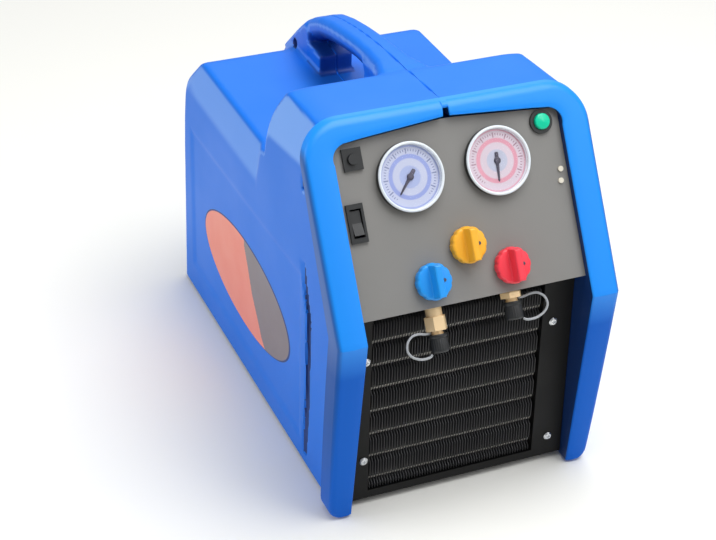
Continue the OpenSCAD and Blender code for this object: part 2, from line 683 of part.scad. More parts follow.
// Straps that tie the caps to the ports
strap_r = 0.9;
function lerp(a, b, t) = a + (b - a) * t;
function tube_pts(path, r, n) = [for (i = [0:len(path) - 1])
  let (d = unit(path[min(i + 1, len(path) - 1)] - path[max(i - 1, 0)]))
  let (s = unit(cross(d, abs(d[2]) < 0.9 ? [0, 0, 1] : [1, 0, 0])), u = cross(s, d))
  for (k = [0:n - 1]) path[i] + r * (s * cos(360 * k / n) + u * sin(360 * k / n))];
function rings_of(path, r, n) = let (q = tube_pts(path, r, n)) [for (i = [0:len(path) - 1]) [for (k = [0:n - 1]) q[i * n + k]]];
module tube(path, r, n) { skin(rings_of(path, r, n)); }
function spline(p, n) = [for (i = [0:len(p) - 2]) let (a = p[max(i - 1, 0)], b = p[i], c = p[i + 1],
  d = p[min(i + 2, len(p) - 1)]) for (k = [0:n - 1]) let (t = k / n)
  0.5 * (2 * b + (c - a) * t + (2 * a - 5 * b + 4 * c - d) * t * t + (3 * b - 3 * c + d - a) * t * t * t)];
// Places along each strap: sideways and along the port from the cap's top edge, forward of its axis
strap_route = [[-6, 1.5, 0], [-11.5, 1.7, 0.5], [-17, 3, 2], [-24, 2.5, 3], [-29.5, -2, 4], [-31, -9, 4],
  [-27, -15, 3], [-19, -18.5, 2], [-11, -18.5, 1], [-8.1, -16.8, 0]];
strap_sides = [1, -1];
module strap(i) {
  color("#8d9094") on_face(port_x[i], port_cap_v[i], port_w)
    tube([for (p = spline(strap_route, 3)) [p[0] * strap_sides[i], p[1], p[2]]], strap_r, 8);
}
// Switches and lamps
module rocker_housing() {
  color("#161617") on_face(rocker_x, rocker_v, face_w) difference() {
    union() {
      translate([-rocker_fw / 2, -rocker_fh / 2, 0]) cube([rocker_fw, rocker_fh, bezel_h]);
      translate([-rocker_fw / 2 + bezel_h, -rocker_fh / 2 + bezel_h, -rocker_can])
        cube([rocker_fw - bezel_h * 2, rocker_fh - bezel_h * 2, rocker_can + o / 2]);
    }
    translate([-rocker_w / 2 + fit, -rocker_l / 2 - fit - rocker_lift, -rocker_can / 2])
      cube([rocker_w - fit * 2 + fit * 2, rocker_l + (fit + rocker_lift) * 2, rocker_can]);
  }
}
rocker_lift = 1.5;
rocker_t = 6;
rocker_turn = 9;
module power_rocker() {
  color("#202022") on_face(rocker_x, rocker_v, face_w + bezel_h - rocker_t / 2) rotate([-rocker_turn, 0, 0]) rotate([90, 0, 90])
    translate([0, 0, -rocker_w / 2 + gap * 2]) linear_extrude(height = rocker_w - gap * 4)
      polygon([[-rocker_l / 2, -rocker_t / 2], [rocker_l / 2, -rocker_t / 2], [rocker_l / 2, rocker_t / 2 - gap],
        [0, rocker_t / 4], [-rocker_l / 2, rocker_t / 2 - gap]]);
}
module breaker_housing() {
  color("#161617") on_face(breaker_x, breaker_v, face_w) difference() {
    union() {
      translate([-breaker_w / 2, -breaker_h / 2, 0]) cube([breaker_w, breaker_h, bezel_h]);
      translate([-breaker_w / 2 + bezel_h, -breaker_h / 2 + bezel_h, -rocker_can])
        cube([breaker_w - bezel_h * 2, breaker_h - bezel_h * 2, rocker_can + o / 2]);
    }
    translate([0, 0, -rocker_can / 2]) cylinder(r = breaker_btn_r + fit, h = rocker_can);
  }
}
module breaker_button() {
  color("#2d2e31") on_face(breaker_x, breaker_v, face_w - bezel_h * 2) cylinder(r = breaker_btn_r, h = bezel_h * 4);
}
module button_housing() {
  color("#101011") on_face(green_x, green_v, face_w) difference() {
    union() {
      cylinder(r = green_bezel_r, h = bezel_h);
      translate([0, 0, -rocker_can]) cylinder(r = button_r - gap, h = rocker_can + o / 2);
    }
    translate([0, 0, -rocker_can / 2]) cylinder(r = green_in_r + fit, h = rocker_can);
  }
}
green_in_r = button_r - 1.4;
green_dome = 3;
module green_button() {
  color("#17b34a") on_face(green_x, green_v, face_w - rocker_can / 2 + button_travel + o / 2)
    rotate_extrude() polygon(rounded([[0, 0], [green_in_r, 0], [green_in_r, green_top], [0, green_top + green_dome / 2]],
      [0, 0, green_dome / 2, 0], steps));
}
green_top = rocker_can / 2 - button_travel - o / 2 + bezel_h + green_dome;
module indicator_lamps() {
  color("#e8e4da") for (p = lamp_places) on_face(p[0], p[1], face_w - panel_t * 4)
    cylinder(r = lamp_r, h = panel_t * 5);
}

// Condenser: folded sheet box, fins and tubes
row_y = [cond_y + fin_d * 0.25, cond_y + fin_d * 0.75];
function row_z(i) = row_z0 + i * tube_pitch;
module tube_holes(r) {
  for (y = row_y) for (i = [0:tube_rows - 1]) translate([y, row_z(i)]) circle(r = r);
}
module condenser_frame() {
  color("#151516") at_front() {
    for (x = [cond_x[0] - end_gap, cond_x[1] + end_gap]) translate([x, 0, 0]) across(sheet_t) difference() {
      translate([cond_y - sheet_t, tray_z + tray_t]) square([fin_d + sheet_t * 2, cond_z[1] - tray_z - tray_t]);
      tube_holes(tube_r + run);
    }
    difference() {
      along(cond_y - sheet_t, cond_y) polygon([[gap * 2 - flange_out - leg_flare, tray_z + tray_t],
        [flange_out + leg_flare - gap * 2, tray_z + tray_t], [flange_out, kink_z], [-flange_out, kink_z]]);
      translate([cond_x[0] - end_gap, 0, cond_z[0]])
        cube([cond_x[1] - cond_x[0] + end_gap * 2, depth, cond_z[1]]);
      for (p = cond_screws) translate([p[0], 0, p[1]]) rotate([-90, 0, 0]) cylinder(r = screw_r, h = depth);
    }
    translate([cond_x[0] - end_gap, cond_y - sheet_t, tray_z + tray_t])
      cube([cond_x[1] - cond_x[0] + end_gap * 2, fin_d + sheet_t * 2, sheet_t]);
  }
}
cond_screw_shares = [[0.825, 0.7907], [0.872, 0.142], [-0.8768, 0.2514], [-0.8768, 0.7907]];
cond_screws = [for (p = cond_screw_shares) [p[0] * in_x, p[1] * kink_z]];
fin_count = floor((cond_x[1] - cond_x[0] - fin_pitch) / fin_pitch);
module condenser_fins() {
  color("#2a2b2d") at_front() for (i = [0:fin_count]) translate([cond_x[0] + fin_pitch * (i + 0.7), 0, 0])
    across(fin_t) difference() {
      translate([cond_y + gap, cond_z[0]]) square([fin_d - gap * 2, cond_z[1] - cond_z[0] - sheet_t * 3]);
      tube_holes(tube_r + run);
    }
}
// Each tube end is belled to take its return bend
bell_r = tube_r + 0.5;
bell_in = end_gap + sheet_t;
bell_out = end_gap * 3;
// Half width that the return bends need behind the rim
bend_reach = bell_out + tube_pitch / 2 + tube_r + gap * 3 - cond_x[0];
module condenser_tubes() {
  color("#b98a5e") at_front() for (y = row_y) {
    for (i = [0:tube_rows - 1]) translate([0, y, row_z(i)]) {
      translate([cond_x[0] - bell_out, 0, 0]) rotate([0, 90, 0]) cylinder(r = tube_r, h = cond_x[1] - cond_x[0] + bell_out * 2);
      for (x = [cond_x[0] - bell_out - gap, cond_x[1] + bell_in]) translate([x, 0, 0]) rotate([0, 90, 0])
        cylinder(r = bell_r, h = bell_out - bell_in + gap);
    }
    for (i = [0:tube_rows - 2]) u_bend(i % 2 == 0 ? 1 : -1, y, row_z(i), row_z(i + 1));
  }
}
module u_bend(m, y, z0, z1) {
  translate([m > 0 ? cond_x[1] + bell_out : cond_x[0] - bell_out, y, (z0 + z1) / 2]) rotate([90, 0, 0])
    rotate([0, 0, -90 * m]) rotate_extrude(angle = 180) translate([(z1 - z0) / 2, 0]) circle(r = tube_r);
}
// Fan behind the condenser
shroud_l = 16;
shroud_gap = 3;
module fan_shroud() {
  color("#1d1e20") at_front() difference() {
    union() {
      translate([cond_x[0] - end_gap, shroud_y - sheet_t * 2, tray_z + tray_t])
        cube([cond_x[1] - cond_x[0] + end_gap * 2, sheet_t * 2, cond_z[1] - tray_z - tray_t]);
      translate([fan_x, shroud_y - sheet_t, fan_z]) rotate([-90, 0, 0])
        cylinder(r = fan_r + shroud_gap + sheet_t, h = shroud_l + sheet_t);
    }
    translate([fan_x, 0, fan_z]) rotate([-90, 0, 0]) cylinder(r = fan_r + shroud_gap, h = depth);
  }
}
shaft_r = 4;
bracket_w = 20;
module fan_motor() {
  color("#3a3c40") at_front() union() {
    translate([fan_x, fan_motor_y, fan_z]) rotate([-90, 0, 0]) cylinder(r = fan_motor_r, h = fan_motor_l);
    translate([fan_x, fan_y - sheet_t, fan_z]) rotate([-90, 0, 0]) cylinder(r = shaft_r, h = fan_motor_y - fan_y + sheet_t * 2);
    translate([fan_x - bracket_w, fan_motor_y + fan_motor_l / 3, tray_z + tray_t])
      cube([bracket_w * 2, sheet_t * 3, fan_z - tray_z - fan_motor_r / 2]);
    translate([fan_x - bracket_w, fan_motor_y + fan_motor_l / 3, tray_z + tray_t])
      cube([bracket_w * 2, fan_motor_l / 2, sheet_t * 2]);
  }
}
blade_pitch = 28;
blade_w = 34;
module fan_blades_hub() {
  color("#5b5e63") at_front() translate([fan_x, fan_y, fan_z]) rotate([-90, 0, 0]) difference() {
    union() {
      cylinder(r = hub_r, h = fan_hub_l);
      for (i = [0:fan_blades - 1]) rotate([0, 0, 360 * i / fan_blades]) intersection() {
        translate([hub_r * 0.8, 0, fan_hub_l / 2]) rotate([blade_pitch, 0, 0])
          translate([0, -blade_w / 2, -sheet_t]) cube([fan_r, blade_w, sheet_t * 2]);
        cylinder(r = fan_r, h = fan_hub_l);
      }
    }
    translate([0, 0, -o]) cylinder(r = shaft_r + run, h = fan_hub_l + o * 2);
  }
}
// Twin cylinder oil-free compressor on the tray
comp_foot_h = 18;
rail_t = 4;
rail_z = tray_z + tray_t + comp_foot_h;
module lie(x, y, z) { translate([x, y, z]) rotate([-90, 0, 0]) children(); }
module compressor_motor() {
  color("#4a4d52") at_front() difference() {
    union() {
      lie(comp_x, comp_y0, comp_z) cylinder(r = motor_r, h = motor_l);
      for (i = [0:23]) translate([comp_x, comp_y0 + motor_l * 0.12, comp_z]) rotate([0, 15 * i, 0])
        translate([motor_r - rail_t, 0, -sheet_t]) cube([rail_t * 2, motor_l * 0.76, sheet_t * 2]);
    }
    lie(comp_x, comp_y0 - o, comp_z) difference() {
      cylinder(r = motor_r - rail_t * 2, h = rail_t + o);
      cylinder(r = shaft_r * 4, h = rail_t + o);
    }
  }
}
module compressor_crankcase() {
  color("#8b9096") at_front() union() {
    translate([comp_x - case_w / 2, comp_y + gap, comp_z - case_w / 2 + rail_t])
      cube([case_w, case_l, case_w - rail_t]);
    translate([comp_x - case_w * 0.62, comp_y0 + motor_l / 2, tray_z + tray_t + comp_foot_h])
      cube([case_w * 1.24, motor_l / 2 + case_l, rail_t]);
    translate([comp_x - case_w / 4, comp_y0 + motor_l / 2, rail_z])
      cube([case_w / 2, rail_t, comp_z - motor_r - rail_t - gap - rail_z]);
    translate([comp_x - case_w / 4, comp_y + case_l / 2, rail_z])
      cube([case_w / 2, rail_t * 2, comp_z - case_w / 2 + rail_t * 2 - rail_z]);
  }
}
module compressor_heads() {
  color("#a9adb3") at_front() for (m = [-1, 1]) translate([comp_x + m * case_w / 4 - 0, comp_y + case_l / 2, comp_z + case_w / 2 + gap]) {
    cylinder(r = head_r * 0.66, h = head_l);
    for (i = [0:4]) translate([-head_r * 0.7, -head_r, head_l * (i + 0.6) / 5]) cube([head_r * 1.4, head_r * 2, sheet_t * 2]);
  }
}
mount_in = [0.62, 14];
mount_places = [for (m = [-1, 1]) for (y = [comp_y0 + motor_l * mount_in[0], comp_y + case_l - mount_in[1]])
  [m * case_w / 2, y]];
module compressor_mounts() {
  color("#1a1a1b") at_front() for (p = mount_places) translate([comp_x + p[0], p[1], tray_z + tray_t])
    cylinder(r = foot_r * 0.8, h = comp_foot_h);
}
cap_can_r = 19;
cap_can_l = 78;
module capacitor() {
  color("#c9ccd0") at_front() translate([sx - wall - cap_can_r * 1.6, comp_y - cap_can_l, tray_z + tray_t + cap_can_r]) {
    lie(0, 0, 0) cylinder(r = cap_can_r, h = cap_can_l);
    translate([-cap_can_r, cap_can_l / 2 - bracket_w / 2, -cap_can_r]) cube([cap_can_r * 2, bracket_w, cap_can_r / 2]);
  }
}
// Copper lines between manifold, compressor and condenser
pipe_r = 3.2;
line_in = [[-36, 60, 230], [-37, 76, 219], [-48, 110, 222], [-64, 170, 226], [-70, 230, 222], [-62, 290, 216], [-40, 326, 214],
  [-26, 341, 206], [-24, 342, 189]];
line_out = [[36, 60, 230], [37, 76, 219], [48, 110, 222], [64, 170, 226], [70, 230, 222], [62, 290, 216], [40, 326, 214],
  [26, 341, 206], [24, 342, 189]];
module pipework() {
  color("#b87b4b") at_front() { tube(spline(line_in, 3), pipe_r, 10); tube(spline(line_out, 3), pipe_r, 10); }
}
// Rear power inlet
inlet_flange = 3;
module power_inlet() {
  color("#151516") at_front() difference() {
    union() {
      translate([inlet_x - inlet_w / 2 + fit, rear_low_y - wall * 6, inlet_z - inlet_h / 2 + fit])
        cube([inlet_w - fit * 2, wall * 6 - o, inlet_h - fit * 2]);
    }
    translate([inlet_x - inlet_w / 2 + inlet_flange, rear_low_y - wall * 5, inlet_z - inlet_h / 2 + inlet_flange])
      cube([inlet_w - inlet_flange * 2, wall * 5 + o, inlet_h - inlet_flange * 2]);
  }
}
// Pan-head screws
module pan_screw(l) {
  cylinder(r = screw_r - fit, h = l);
  translate([0, 0, l - o / 2]) difference() {
    rotate_extrude() polygon([[0, 0], [screw_head_r, 0], [screw_head_r, screw_head_h * 0.4],
      [screw_head_r * 0.7, screw_head_h * 0.9], [0, screw_head_h]]);
    for (a = [0, 90]) rotate([0, 0, a]) translate([-screw_head_r / 2, -screw_head_r / 10, screw_head_h / 2])
      cube([screw_head_r, screw_head_r / 5, screw_head_h]);
  }
}
module condenser_screws() {
  color("#c8ccd0") at_front() for (p = cond_screws) translate([p[0], cond_y + screw_head_h * 2, p[1]])
    rotate([90, 0, 0]) pan_screw(screw_head_h * 2 + sheet_t + o / 2 + fit);
}
module slot_screw() {
  difference() {
    cylinder(r = screw_head_r, h = screw_head_h / 2);
    translate([-screw_head_r, -screw_head_r / 6, screw_head_h / 4]) cube([screw_head_r * 2, screw_head_r / 3, screw_head_h]);
  }
}
module shell_screws() {
  color("#2b2c2e") at_front() {
    for (m = [-1, 1]) for (p = shell_screw_places)
      translate([m * (sx - screw_head_h), p[0], p[1]]) rotate([0, m * 90, 0]) slot_screw();
    translate([root_screw_d - root_w, root_screw[0], root_screw[1]]) rotate([0, -90, 0]) slot_screw();
  }
}

left_shell();
right_shell();
front_frame();
base_tray();
rubber_feet();
side_label();
control_panel();
gauge_case(-1);  // gauge_case_left
gauge_dial(-1);  // gauge_dial_left
gauge_pointer(-1, "#26345c");  // gauge_pointer_left
gauge_lens(-1);  // gauge_lens_left
gauge_case(1);  // gauge_case_right
gauge_dial(1);  // gauge_dial_right
gauge_pointer(1, "#5c2630");  // gauge_pointer_right
gauge_lens(1);  // gauge_lens_right
knob(knob_places[0], "#1f7fd6");  // knob_blue
knob(knob_places[1], "#f2b21b");  // knob_yellow
knob(knob_places[2], "#e0303a");  // knob_red
stem(knob_places[0]);  // stem_blue
stem(knob_places[1]);  // stem_yellow
stem(knob_places[2]);  // stem_red
valve_manifold();
port(0);  // port_left
port(1);  // port_right
cap(0);  // cap_left
cap(1);  // cap_right
strap(0);  // strap_left
strap(1);  // strap_right
rocker_housing();
power_rocker();
breaker_housing();
breaker_button();
button_housing();
green_button();
indicator_lamps();
condenser_frame();
condenser_fins();
condenser_tubes();
fan_shroud();
fan_motor();
fan_blades_hub();
compressor_motor();
compressor_crankcase();
compressor_heads();
compressor_mounts();
capacitor();
pipework();
power_inlet();
condenser_screws();
shell_screws();
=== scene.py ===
# Refrigerant recovery machine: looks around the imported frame
import json
import math
import bpy
import numpy as np
from mathutils import Matrix, Vector


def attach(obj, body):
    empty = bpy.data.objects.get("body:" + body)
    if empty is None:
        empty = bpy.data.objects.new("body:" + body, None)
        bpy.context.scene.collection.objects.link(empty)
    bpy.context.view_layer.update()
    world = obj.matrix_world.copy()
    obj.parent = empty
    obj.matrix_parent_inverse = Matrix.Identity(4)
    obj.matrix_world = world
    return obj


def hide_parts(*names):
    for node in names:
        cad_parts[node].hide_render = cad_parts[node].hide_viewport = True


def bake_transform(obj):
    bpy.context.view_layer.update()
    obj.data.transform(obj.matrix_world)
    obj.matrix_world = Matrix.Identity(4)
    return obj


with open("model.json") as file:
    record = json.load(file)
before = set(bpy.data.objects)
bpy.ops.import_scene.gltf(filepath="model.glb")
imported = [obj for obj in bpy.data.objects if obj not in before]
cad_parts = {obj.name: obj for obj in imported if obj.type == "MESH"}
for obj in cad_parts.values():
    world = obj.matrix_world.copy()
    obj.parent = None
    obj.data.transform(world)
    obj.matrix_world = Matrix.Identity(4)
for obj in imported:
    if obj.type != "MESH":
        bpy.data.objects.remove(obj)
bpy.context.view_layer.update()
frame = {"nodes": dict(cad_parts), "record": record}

# Sizes in millimetres, as in the part's own source: x across, y back from the front, z up from the floor
HALF_DEPTH = 229.5
TILT = math.radians(31.08)
SN, CS = math.sin(TILT), math.cos(TILT)
# Height where the upright legs meet the slanted face, and that face's length up its slope
KINK = 197.3
FACE_LEN = 188.09
# Panel's front, square to the slanted face and below it
PANEL_W = -7.9
# Rim: half width, its face's width at the side and at the top, and its depth to the seam at the kink and at
# the top
RIM_HALF = 132.0
SIDE_BAND, TOP_BAND = 26.5, 20.1
SEAM_LOW, SEAM_TOP = 24.0, 9.9
# Case: half width, wall, underside, and its sides' draft, which ends at a height
CASE_HALF = 121.0
WALL = 3.0
UNDERSIDE = 3.0
DRAFT, DRAFT_TOP = 1.3, 197.0


def to_m(p):
    """Millimetres from the front to metres in the row frame."""
    p = np.asarray(p, float).reshape(-1, 3)
    return (p - [0, HALF_DEPTH, 0]) / 1000.0


def on_panel(pts, x0, v0, w0=0.0):
    """Local millimetres across, up the slanted face and out of it to metres in the row frame."""
    p = np.asarray(pts, float) + [x0, v0, w0]
    return to_m(np.stack([p[:, 0], p[:, 1] * SN - p[:, 2] * CS, KINK + p[:, 1] * CS + p[:, 2] * SN], axis=1))


# Mesh helpers
def mesh_piece(name, verts, faces, materials, body="machine", smooth=True, stands_for=(),
               flat_angle=None):
    """A closed mesh from points in metres and faces, with its materials, riding on a body."""
    faces = faces.tolist() if isinstance(faces, np.ndarray) else faces
    me = bpy.data.meshes.new(name)
    me.from_pydata(np.asarray(verts, float).tolist(), [], faces)
    me.validate()
    me.update()
    ob = bpy.data.objects.new(name, me)
    bpy.context.scene.collection.objects.link(ob)
    for m in materials:
        me.materials.append(m)
    if smooth:
        me.polygons.foreach_set("use_smooth", [True] * len(me.polygons))
    if flat_angle:
        me.set_sharp_from_angle(angle=math.radians(flat_angle))
    if body:
        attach(ob, body)
    if stands_for:
        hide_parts(*stands_for)
    return ob


def second_material(ob, faces, index=1):
    """Gives some faces, marked true or by number, another of the piece's materials."""
    ob.data.polygons.foreach_set("material_index", (np.asarray(faces) * index).astype(np.int32))


def ring_faces(rings, sides):
    """Quads between neighbouring rings of points, each ring closed on itself."""
    i, k = np.meshgrid(np.arange(rings - 1), np.arange(sides), indexing="ij")
    m = (k + 1) % sides
    quads = [i * sides + k, i * sides + m, (i + 1) * sides + m, (i + 1) * sides + k]
    return np.stack(quads, axis=-1).reshape(-1, 4)


def capped_rings(rings, sides):
    """Ring faces with a flat cap on the first ring and on the last."""
    first = np.arange(sides)
    return ring_faces(rings, sides).tolist() + [first[::-1].tolist(), (first + (rings - 1) * sides).tolist()]


def arc(cx, cy, r, a0, a1, n=6):
    """Points on a circle's arc between two angles in degrees."""
    a = np.radians(np.linspace(a0, a1, n))
    return list(zip(cx + r * np.cos(a), cy + r * np.sin(a)))


def lathe(profile, sides=72, ribs=0, depth=0.0, ribbed=(0, 0)):
    """A profile of radius and height turned round its axis. Between two heights the radius loses a share of
    depth that swings as a cosine, once for each rib."""
    r, h = np.asarray(profile, float).T[:, :, None]
    turn = np.arange(sides) * 2 * math.pi / sides
    in_ribs = (h >= ribbed[0]) & (h <= ribbed[1]) & (ribs > 0)
    r = r - in_ribs * depth * (0.5 - 0.5 * np.cos(ribs * turn))
    verts = np.stack([r * np.cos(turn), r * np.sin(turn), h + 0.0 * turn], axis=-1)
    return verts.reshape(-1, 3), capped_rings(len(profile), sides)


def spline(points, n):
    """Curve through points: each span a cubic with tangents from its neighbours, in n steps."""
    p = np.array(points, float)
    i = np.arange(len(p) - 1)
    a, b, c, d = (p[np.clip(i + k, 0, len(p) - 1)][:, None] for k in (-1, 0, 1, 2))
    t = (np.arange(n) / n)[None, :, None]
    spans = 2 * b + (c - a) * t + (2 * a - 5 * b + 4 * c - d) * t * t + (3 * b - 3 * c + d - a) * t ** 3
    return np.concatenate([0.5 * spans.reshape(-1, 3), p[-1:]])


def tube(path, radius, sides, flat):
    """A round section, stretched sideways by flat, carried along a path without twist."""
    i = np.arange(len(path))
    along = path[np.minimum(i + 1, len(path) - 1)] - path[np.maximum(i - 1, 0)]
    along /= np.linalg.norm(along, axis=1, keepdims=True)
    across = np.cross(along, [0.0, 0.0, 1.0])
    across /= np.linalg.norm(across, axis=1, keepdims=True)
    turn = (2 * math.pi * np.arange(sides) / sides)[None, :, None]
    ring = across[:, None] * np.cos(turn) * flat + np.cross(across, along)[:, None] * np.sin(turn)
    return (path[:, None] + radius * ring).reshape(-1, 3), capped_rings(len(path), sides)


# Smooth distance fields, in millimetres, and their meshes
def smax(a, b, k):
    """Smooth maximum: the larger of two distances, rounded where they differ by less than k."""
    h = np.clip(0.5 + 0.5 * (a - b) / k, 0.0, 1.0)
    return b + (a - b) * h + k * h * (1.0 - h)


def smin(a, b, k):
    """Smooth minimum, the smooth maximum turned over."""
    return -smax(-a, -b, k)


def ramp(v, low, high):
    """Smooth step from 0 at low to 1 at high."""
    t = np.clip((v - low) / (high - low), 0.0, 1.0)
    return t * t * (3.0 - 2.0 * t)


def plane(a, b, face):
    """Distance to a flat face seen edge on, from a place on it and its unit normal in two coordinates."""
    a0, b0, na, nb = face
    return (a - a0) * na + (b - b0) * nb


def polygon_distance(u, v, points, r=0.0):
    """Signed distance to a closed outline, inside negative, grown outwards by r."""
    best = np.full(np.broadcast(u, v).shape, 1e9, np.float32)
    inside = np.zeros(best.shape, bool)
    for (ax, ay), (bx, by) in zip(points, points[1:] + points[:1]):
        ex, ey = bx - ax, by - ay
        t = np.clip(((u - ax) * ex + (v - ay) * ey) / (ex * ex + ey * ey), 0.0, 1.0)
        best = np.minimum(best, (u - ax - t * ex) ** 2 + (v - ay - t * ey) ** 2)
        if ay != by:
            inside ^= ((ay > v) != (by > v)) & (u < ex * (v - ay) / ey + ax)
    best = np.sqrt(best)
    return np.where(inside, -best, best) - r


def part_of(axis, cut):
    """Index of a 3-D array that takes one stretch of one axis, or of several."""
    pick = [slice(None)] * 3
    for a, c in zip(np.atleast_1d(axis), cut):
        pick[a] = c
    return tuple(pick)


def surface_net(field, xs, ys, zs, reach=1.3, steps=2, nudge=0.12, least_slope=0.15):
    """Mesh of field = 0: one vertex in each grid cell that the surface crosses, at the mean of its edge
    crossings, then moved along the gradient onto the surface; one quad for each crossed grid edge."""
    axes = [np.asarray(a, np.float32) for a in (xs, ys, zs)]
    shape = tuple(len(a) for a in axes)
    wide = [a.reshape([-1 if k == n else 1 for k in range(3)]) for n, a in enumerate(axes)]
    f = np.broadcast_to(field(*wide).astype(np.float32), shape)
    cells = tuple(n - 1 for n in shape)
    total, count = np.zeros(cells + (3,), np.float32), np.zeros(cells, np.float32)
    crossings = []
    for a in range(3):
        low, high = part_of(a, [slice(0, -1)]), part_of(a, [slice(1, None)])
        start_in = f[low] < 0
        cross = start_in != (f[high] < 0)
        crossings.append((cross, start_in))
        t = np.where(cross, f[low] / np.where(cross, f[low] - f[high], 1.0), 0.0)
        along = wide[a][low] + t * np.diff(wide[a], axis=a)
        b, c = [k for k in range(3) if k != a]
        for db in (0, 1):
            for dc in (0, 1):
                cut = slice(db, shape[b] - 1 + db), slice(dc, shape[c] - 1 + dc)
                pick = part_of((b, c), cut)
                count += cross[pick]
                total[..., a] += np.where(cross[pick], along[pick], 0.0)
                for other, stretch in zip((b, c), cut):
                    total[..., other] += np.where(cross[pick], wide[other][part_of(other, [stretch])], 0.0)
    on = count > 0
    index = np.full(cells, -1, np.int64)
    index[on] = np.arange(int(on.sum()))
    p = (total[on] / count[on][:, None]).astype(np.float64)
    for _ in range(steps):
        g = [(field(*(p + nudge * e).T) - field(*(p - nudge * e).T)) / (2 * nudge) for e in np.eye(3)]
        g = np.stack(g, axis=1)
        move = -(field(*p.T) / np.maximum((g ** 2).sum(1), least_slope))[:, None] * g
        size = np.linalg.norm(move, axis=1, keepdims=True)
        p = p + move * np.minimum(1.0, reach / np.maximum(size, 1e-9))
    quads = []
    for a, (cross, start_in) in enumerate(crossings):
        b, c = [k for k in range(3) if k != a]
        i = np.argwhere(cross[part_of((b, c), (slice(1, -1), slice(1, -1)))])
        i[:, [b, c]] += 1
        around = []
        for back_b, back_c in ((1, 1), (0, 1), (0, 0), (1, 0)):
            j = i.copy()
            j[:, [b, c]] -= [back_b, back_c]
            around.append(index[tuple(j.T)])
        q = np.stack(around, axis=1)
        forward = start_in[tuple(i.T)] != (a == 1)
        quads.append(np.where(forward[:, None], q, q[:, ::-1]))
    return p, np.concatenate(quads)


# Colour and node helpers
def lin(h):
    """Hexadecimal sRGB to linear RGBA."""
    c = [int(h[i:i + 2], 16) / 255.0 for i in (1, 3, 5)]
    return tuple(x / 12.92 if x <= 0.04045 else ((x + 0.055) / 1.055) ** 2.4 for x in c) + (1.0,)


def add(tree, kind, links=None, **values):
    """One node with its settings, its inputs' values as in_NAME or in_NUMBER, and links into its inputs."""
    n = tree.nodes.new(kind)
    for k, v in values.items():
        if k.startswith("in_"):
            key = k[3:]
            sock = n.inputs[int(key)] if key.isdigit() else n.inputs[key.replace("_", " ")]
            sock.default_value = v
        else:
            setattr(n, k, v)
    for into, out in (links or {}).items():
        tree.links.new(out, n.inputs[into])
    return n


def material(name, base, rough=0.5, metal=0.0, **sockets):
    """A Principled material with constant values on its own sockets. Returns it with its tree and shader."""
    m = bpy.data.materials.new(name)
    m.use_nodes = True
    t = m.node_tree
    b = t.nodes["Principled BSDF"]
    b.inputs["Base Color"].default_value = lin(base)
    b.inputs["Roughness"].default_value = rough
    b.inputs["Metallic"].default_value = metal
    for k, v in sockets.items():
        b.inputs[k.replace("_", " ")].default_value = v
    m.diffuse_color = lin(base)
    return m, t, b


def simple(name, base, other, rough, metal=0.0, scale_mm=40, amount=0.3, bump=0.1, bump_mm=0.6, **sockets):
    """Two close colours that change slowly over scale_mm, a small swing of roughness with them, and a fine
    bump of bump_mm grain."""
    m, t, b = material(name, base, rough[0], metal, **sockets)
    place = add(t, "ShaderNodeTexCoord").outputs["Object"]
    noise = add(t, "ShaderNodeTexNoise", {"Vector": place}, in_Scale=1000.0 / scale_mm, in_Detail=3.0)
    slow = noise.outputs["Fac"]
    share = add(t, "ShaderNodeMapRange", {"Value": slow}, in_1=0.35, in_2=0.65, in_3=0.0, in_4=amount)
    mix = add(t, "ShaderNodeMix", {0: share.outputs["Result"]}, data_type="RGBA", in_6=lin(base),
              in_7=lin(other))
    t.links.new(mix.outputs[2], b.inputs["Base Color"])
    swing = add(t, "ShaderNodeMapRange", {"Value": slow}, in_1=0.3, in_2=0.7, in_3=rough[0], in_4=rough[1])
    t.links.new(swing.outputs["Result"], b.inputs["Roughness"])
    if bump:
        grain = add(t, "ShaderNodeTexNoise", {"Vector": place}, in_Scale=1000.0 / bump_mm, in_Detail=2.0)
        raised = add(t, "ShaderNodeBump", {"Height": grain.outputs["Fac"]}, in_Strength=bump,
                     in_Distance=0.0002)
        t.links.new(raised.outputs["Normal"], b.inputs["Normal"])
    return m


def tint(t, b, share, colour):
    """Mixes a colour over what already feeds the base colour, by a share from another node."""
    before = b.inputs["Base Color"].links[0].from_socket
    mix = add(t, "ShaderNodeMix", {0: share, 6: before}, data_type="RGBA", in_7=lin(colour))
    t.links.new(mix.outputs[2], b.inputs["Base Color"])


def case_material():
    """Case plastic: the steep slanted faces painted paler as a sheen, the rolled edge of the head's top
    painted a fuller blue as shade, and the shut-in faces round the handle painted dark as shade."""
    m = simple("case_polypropylene_blue", "#0676ea", "#0670e0", (0.42, 0.5), bump=0.12, bump_mm=0.8,
               scale_mm=90, Specular_IOR_Level=0.3)
    t, b = m.node_tree, m.node_tree.nodes["Principled BSDF"]
    # Painted sheen on the slanted faces, painted shade on the rolled top edge and round the handle
    for name, colour in (("slant_sheen", "#78aefe"), ("roll_shade", "#0076ec"), ("deep_shade", "#04388c")):
        tint(t, b, add(t, "ShaderNodeAttribute", attribute_name=name).outputs["Fac"], colour)
    return m


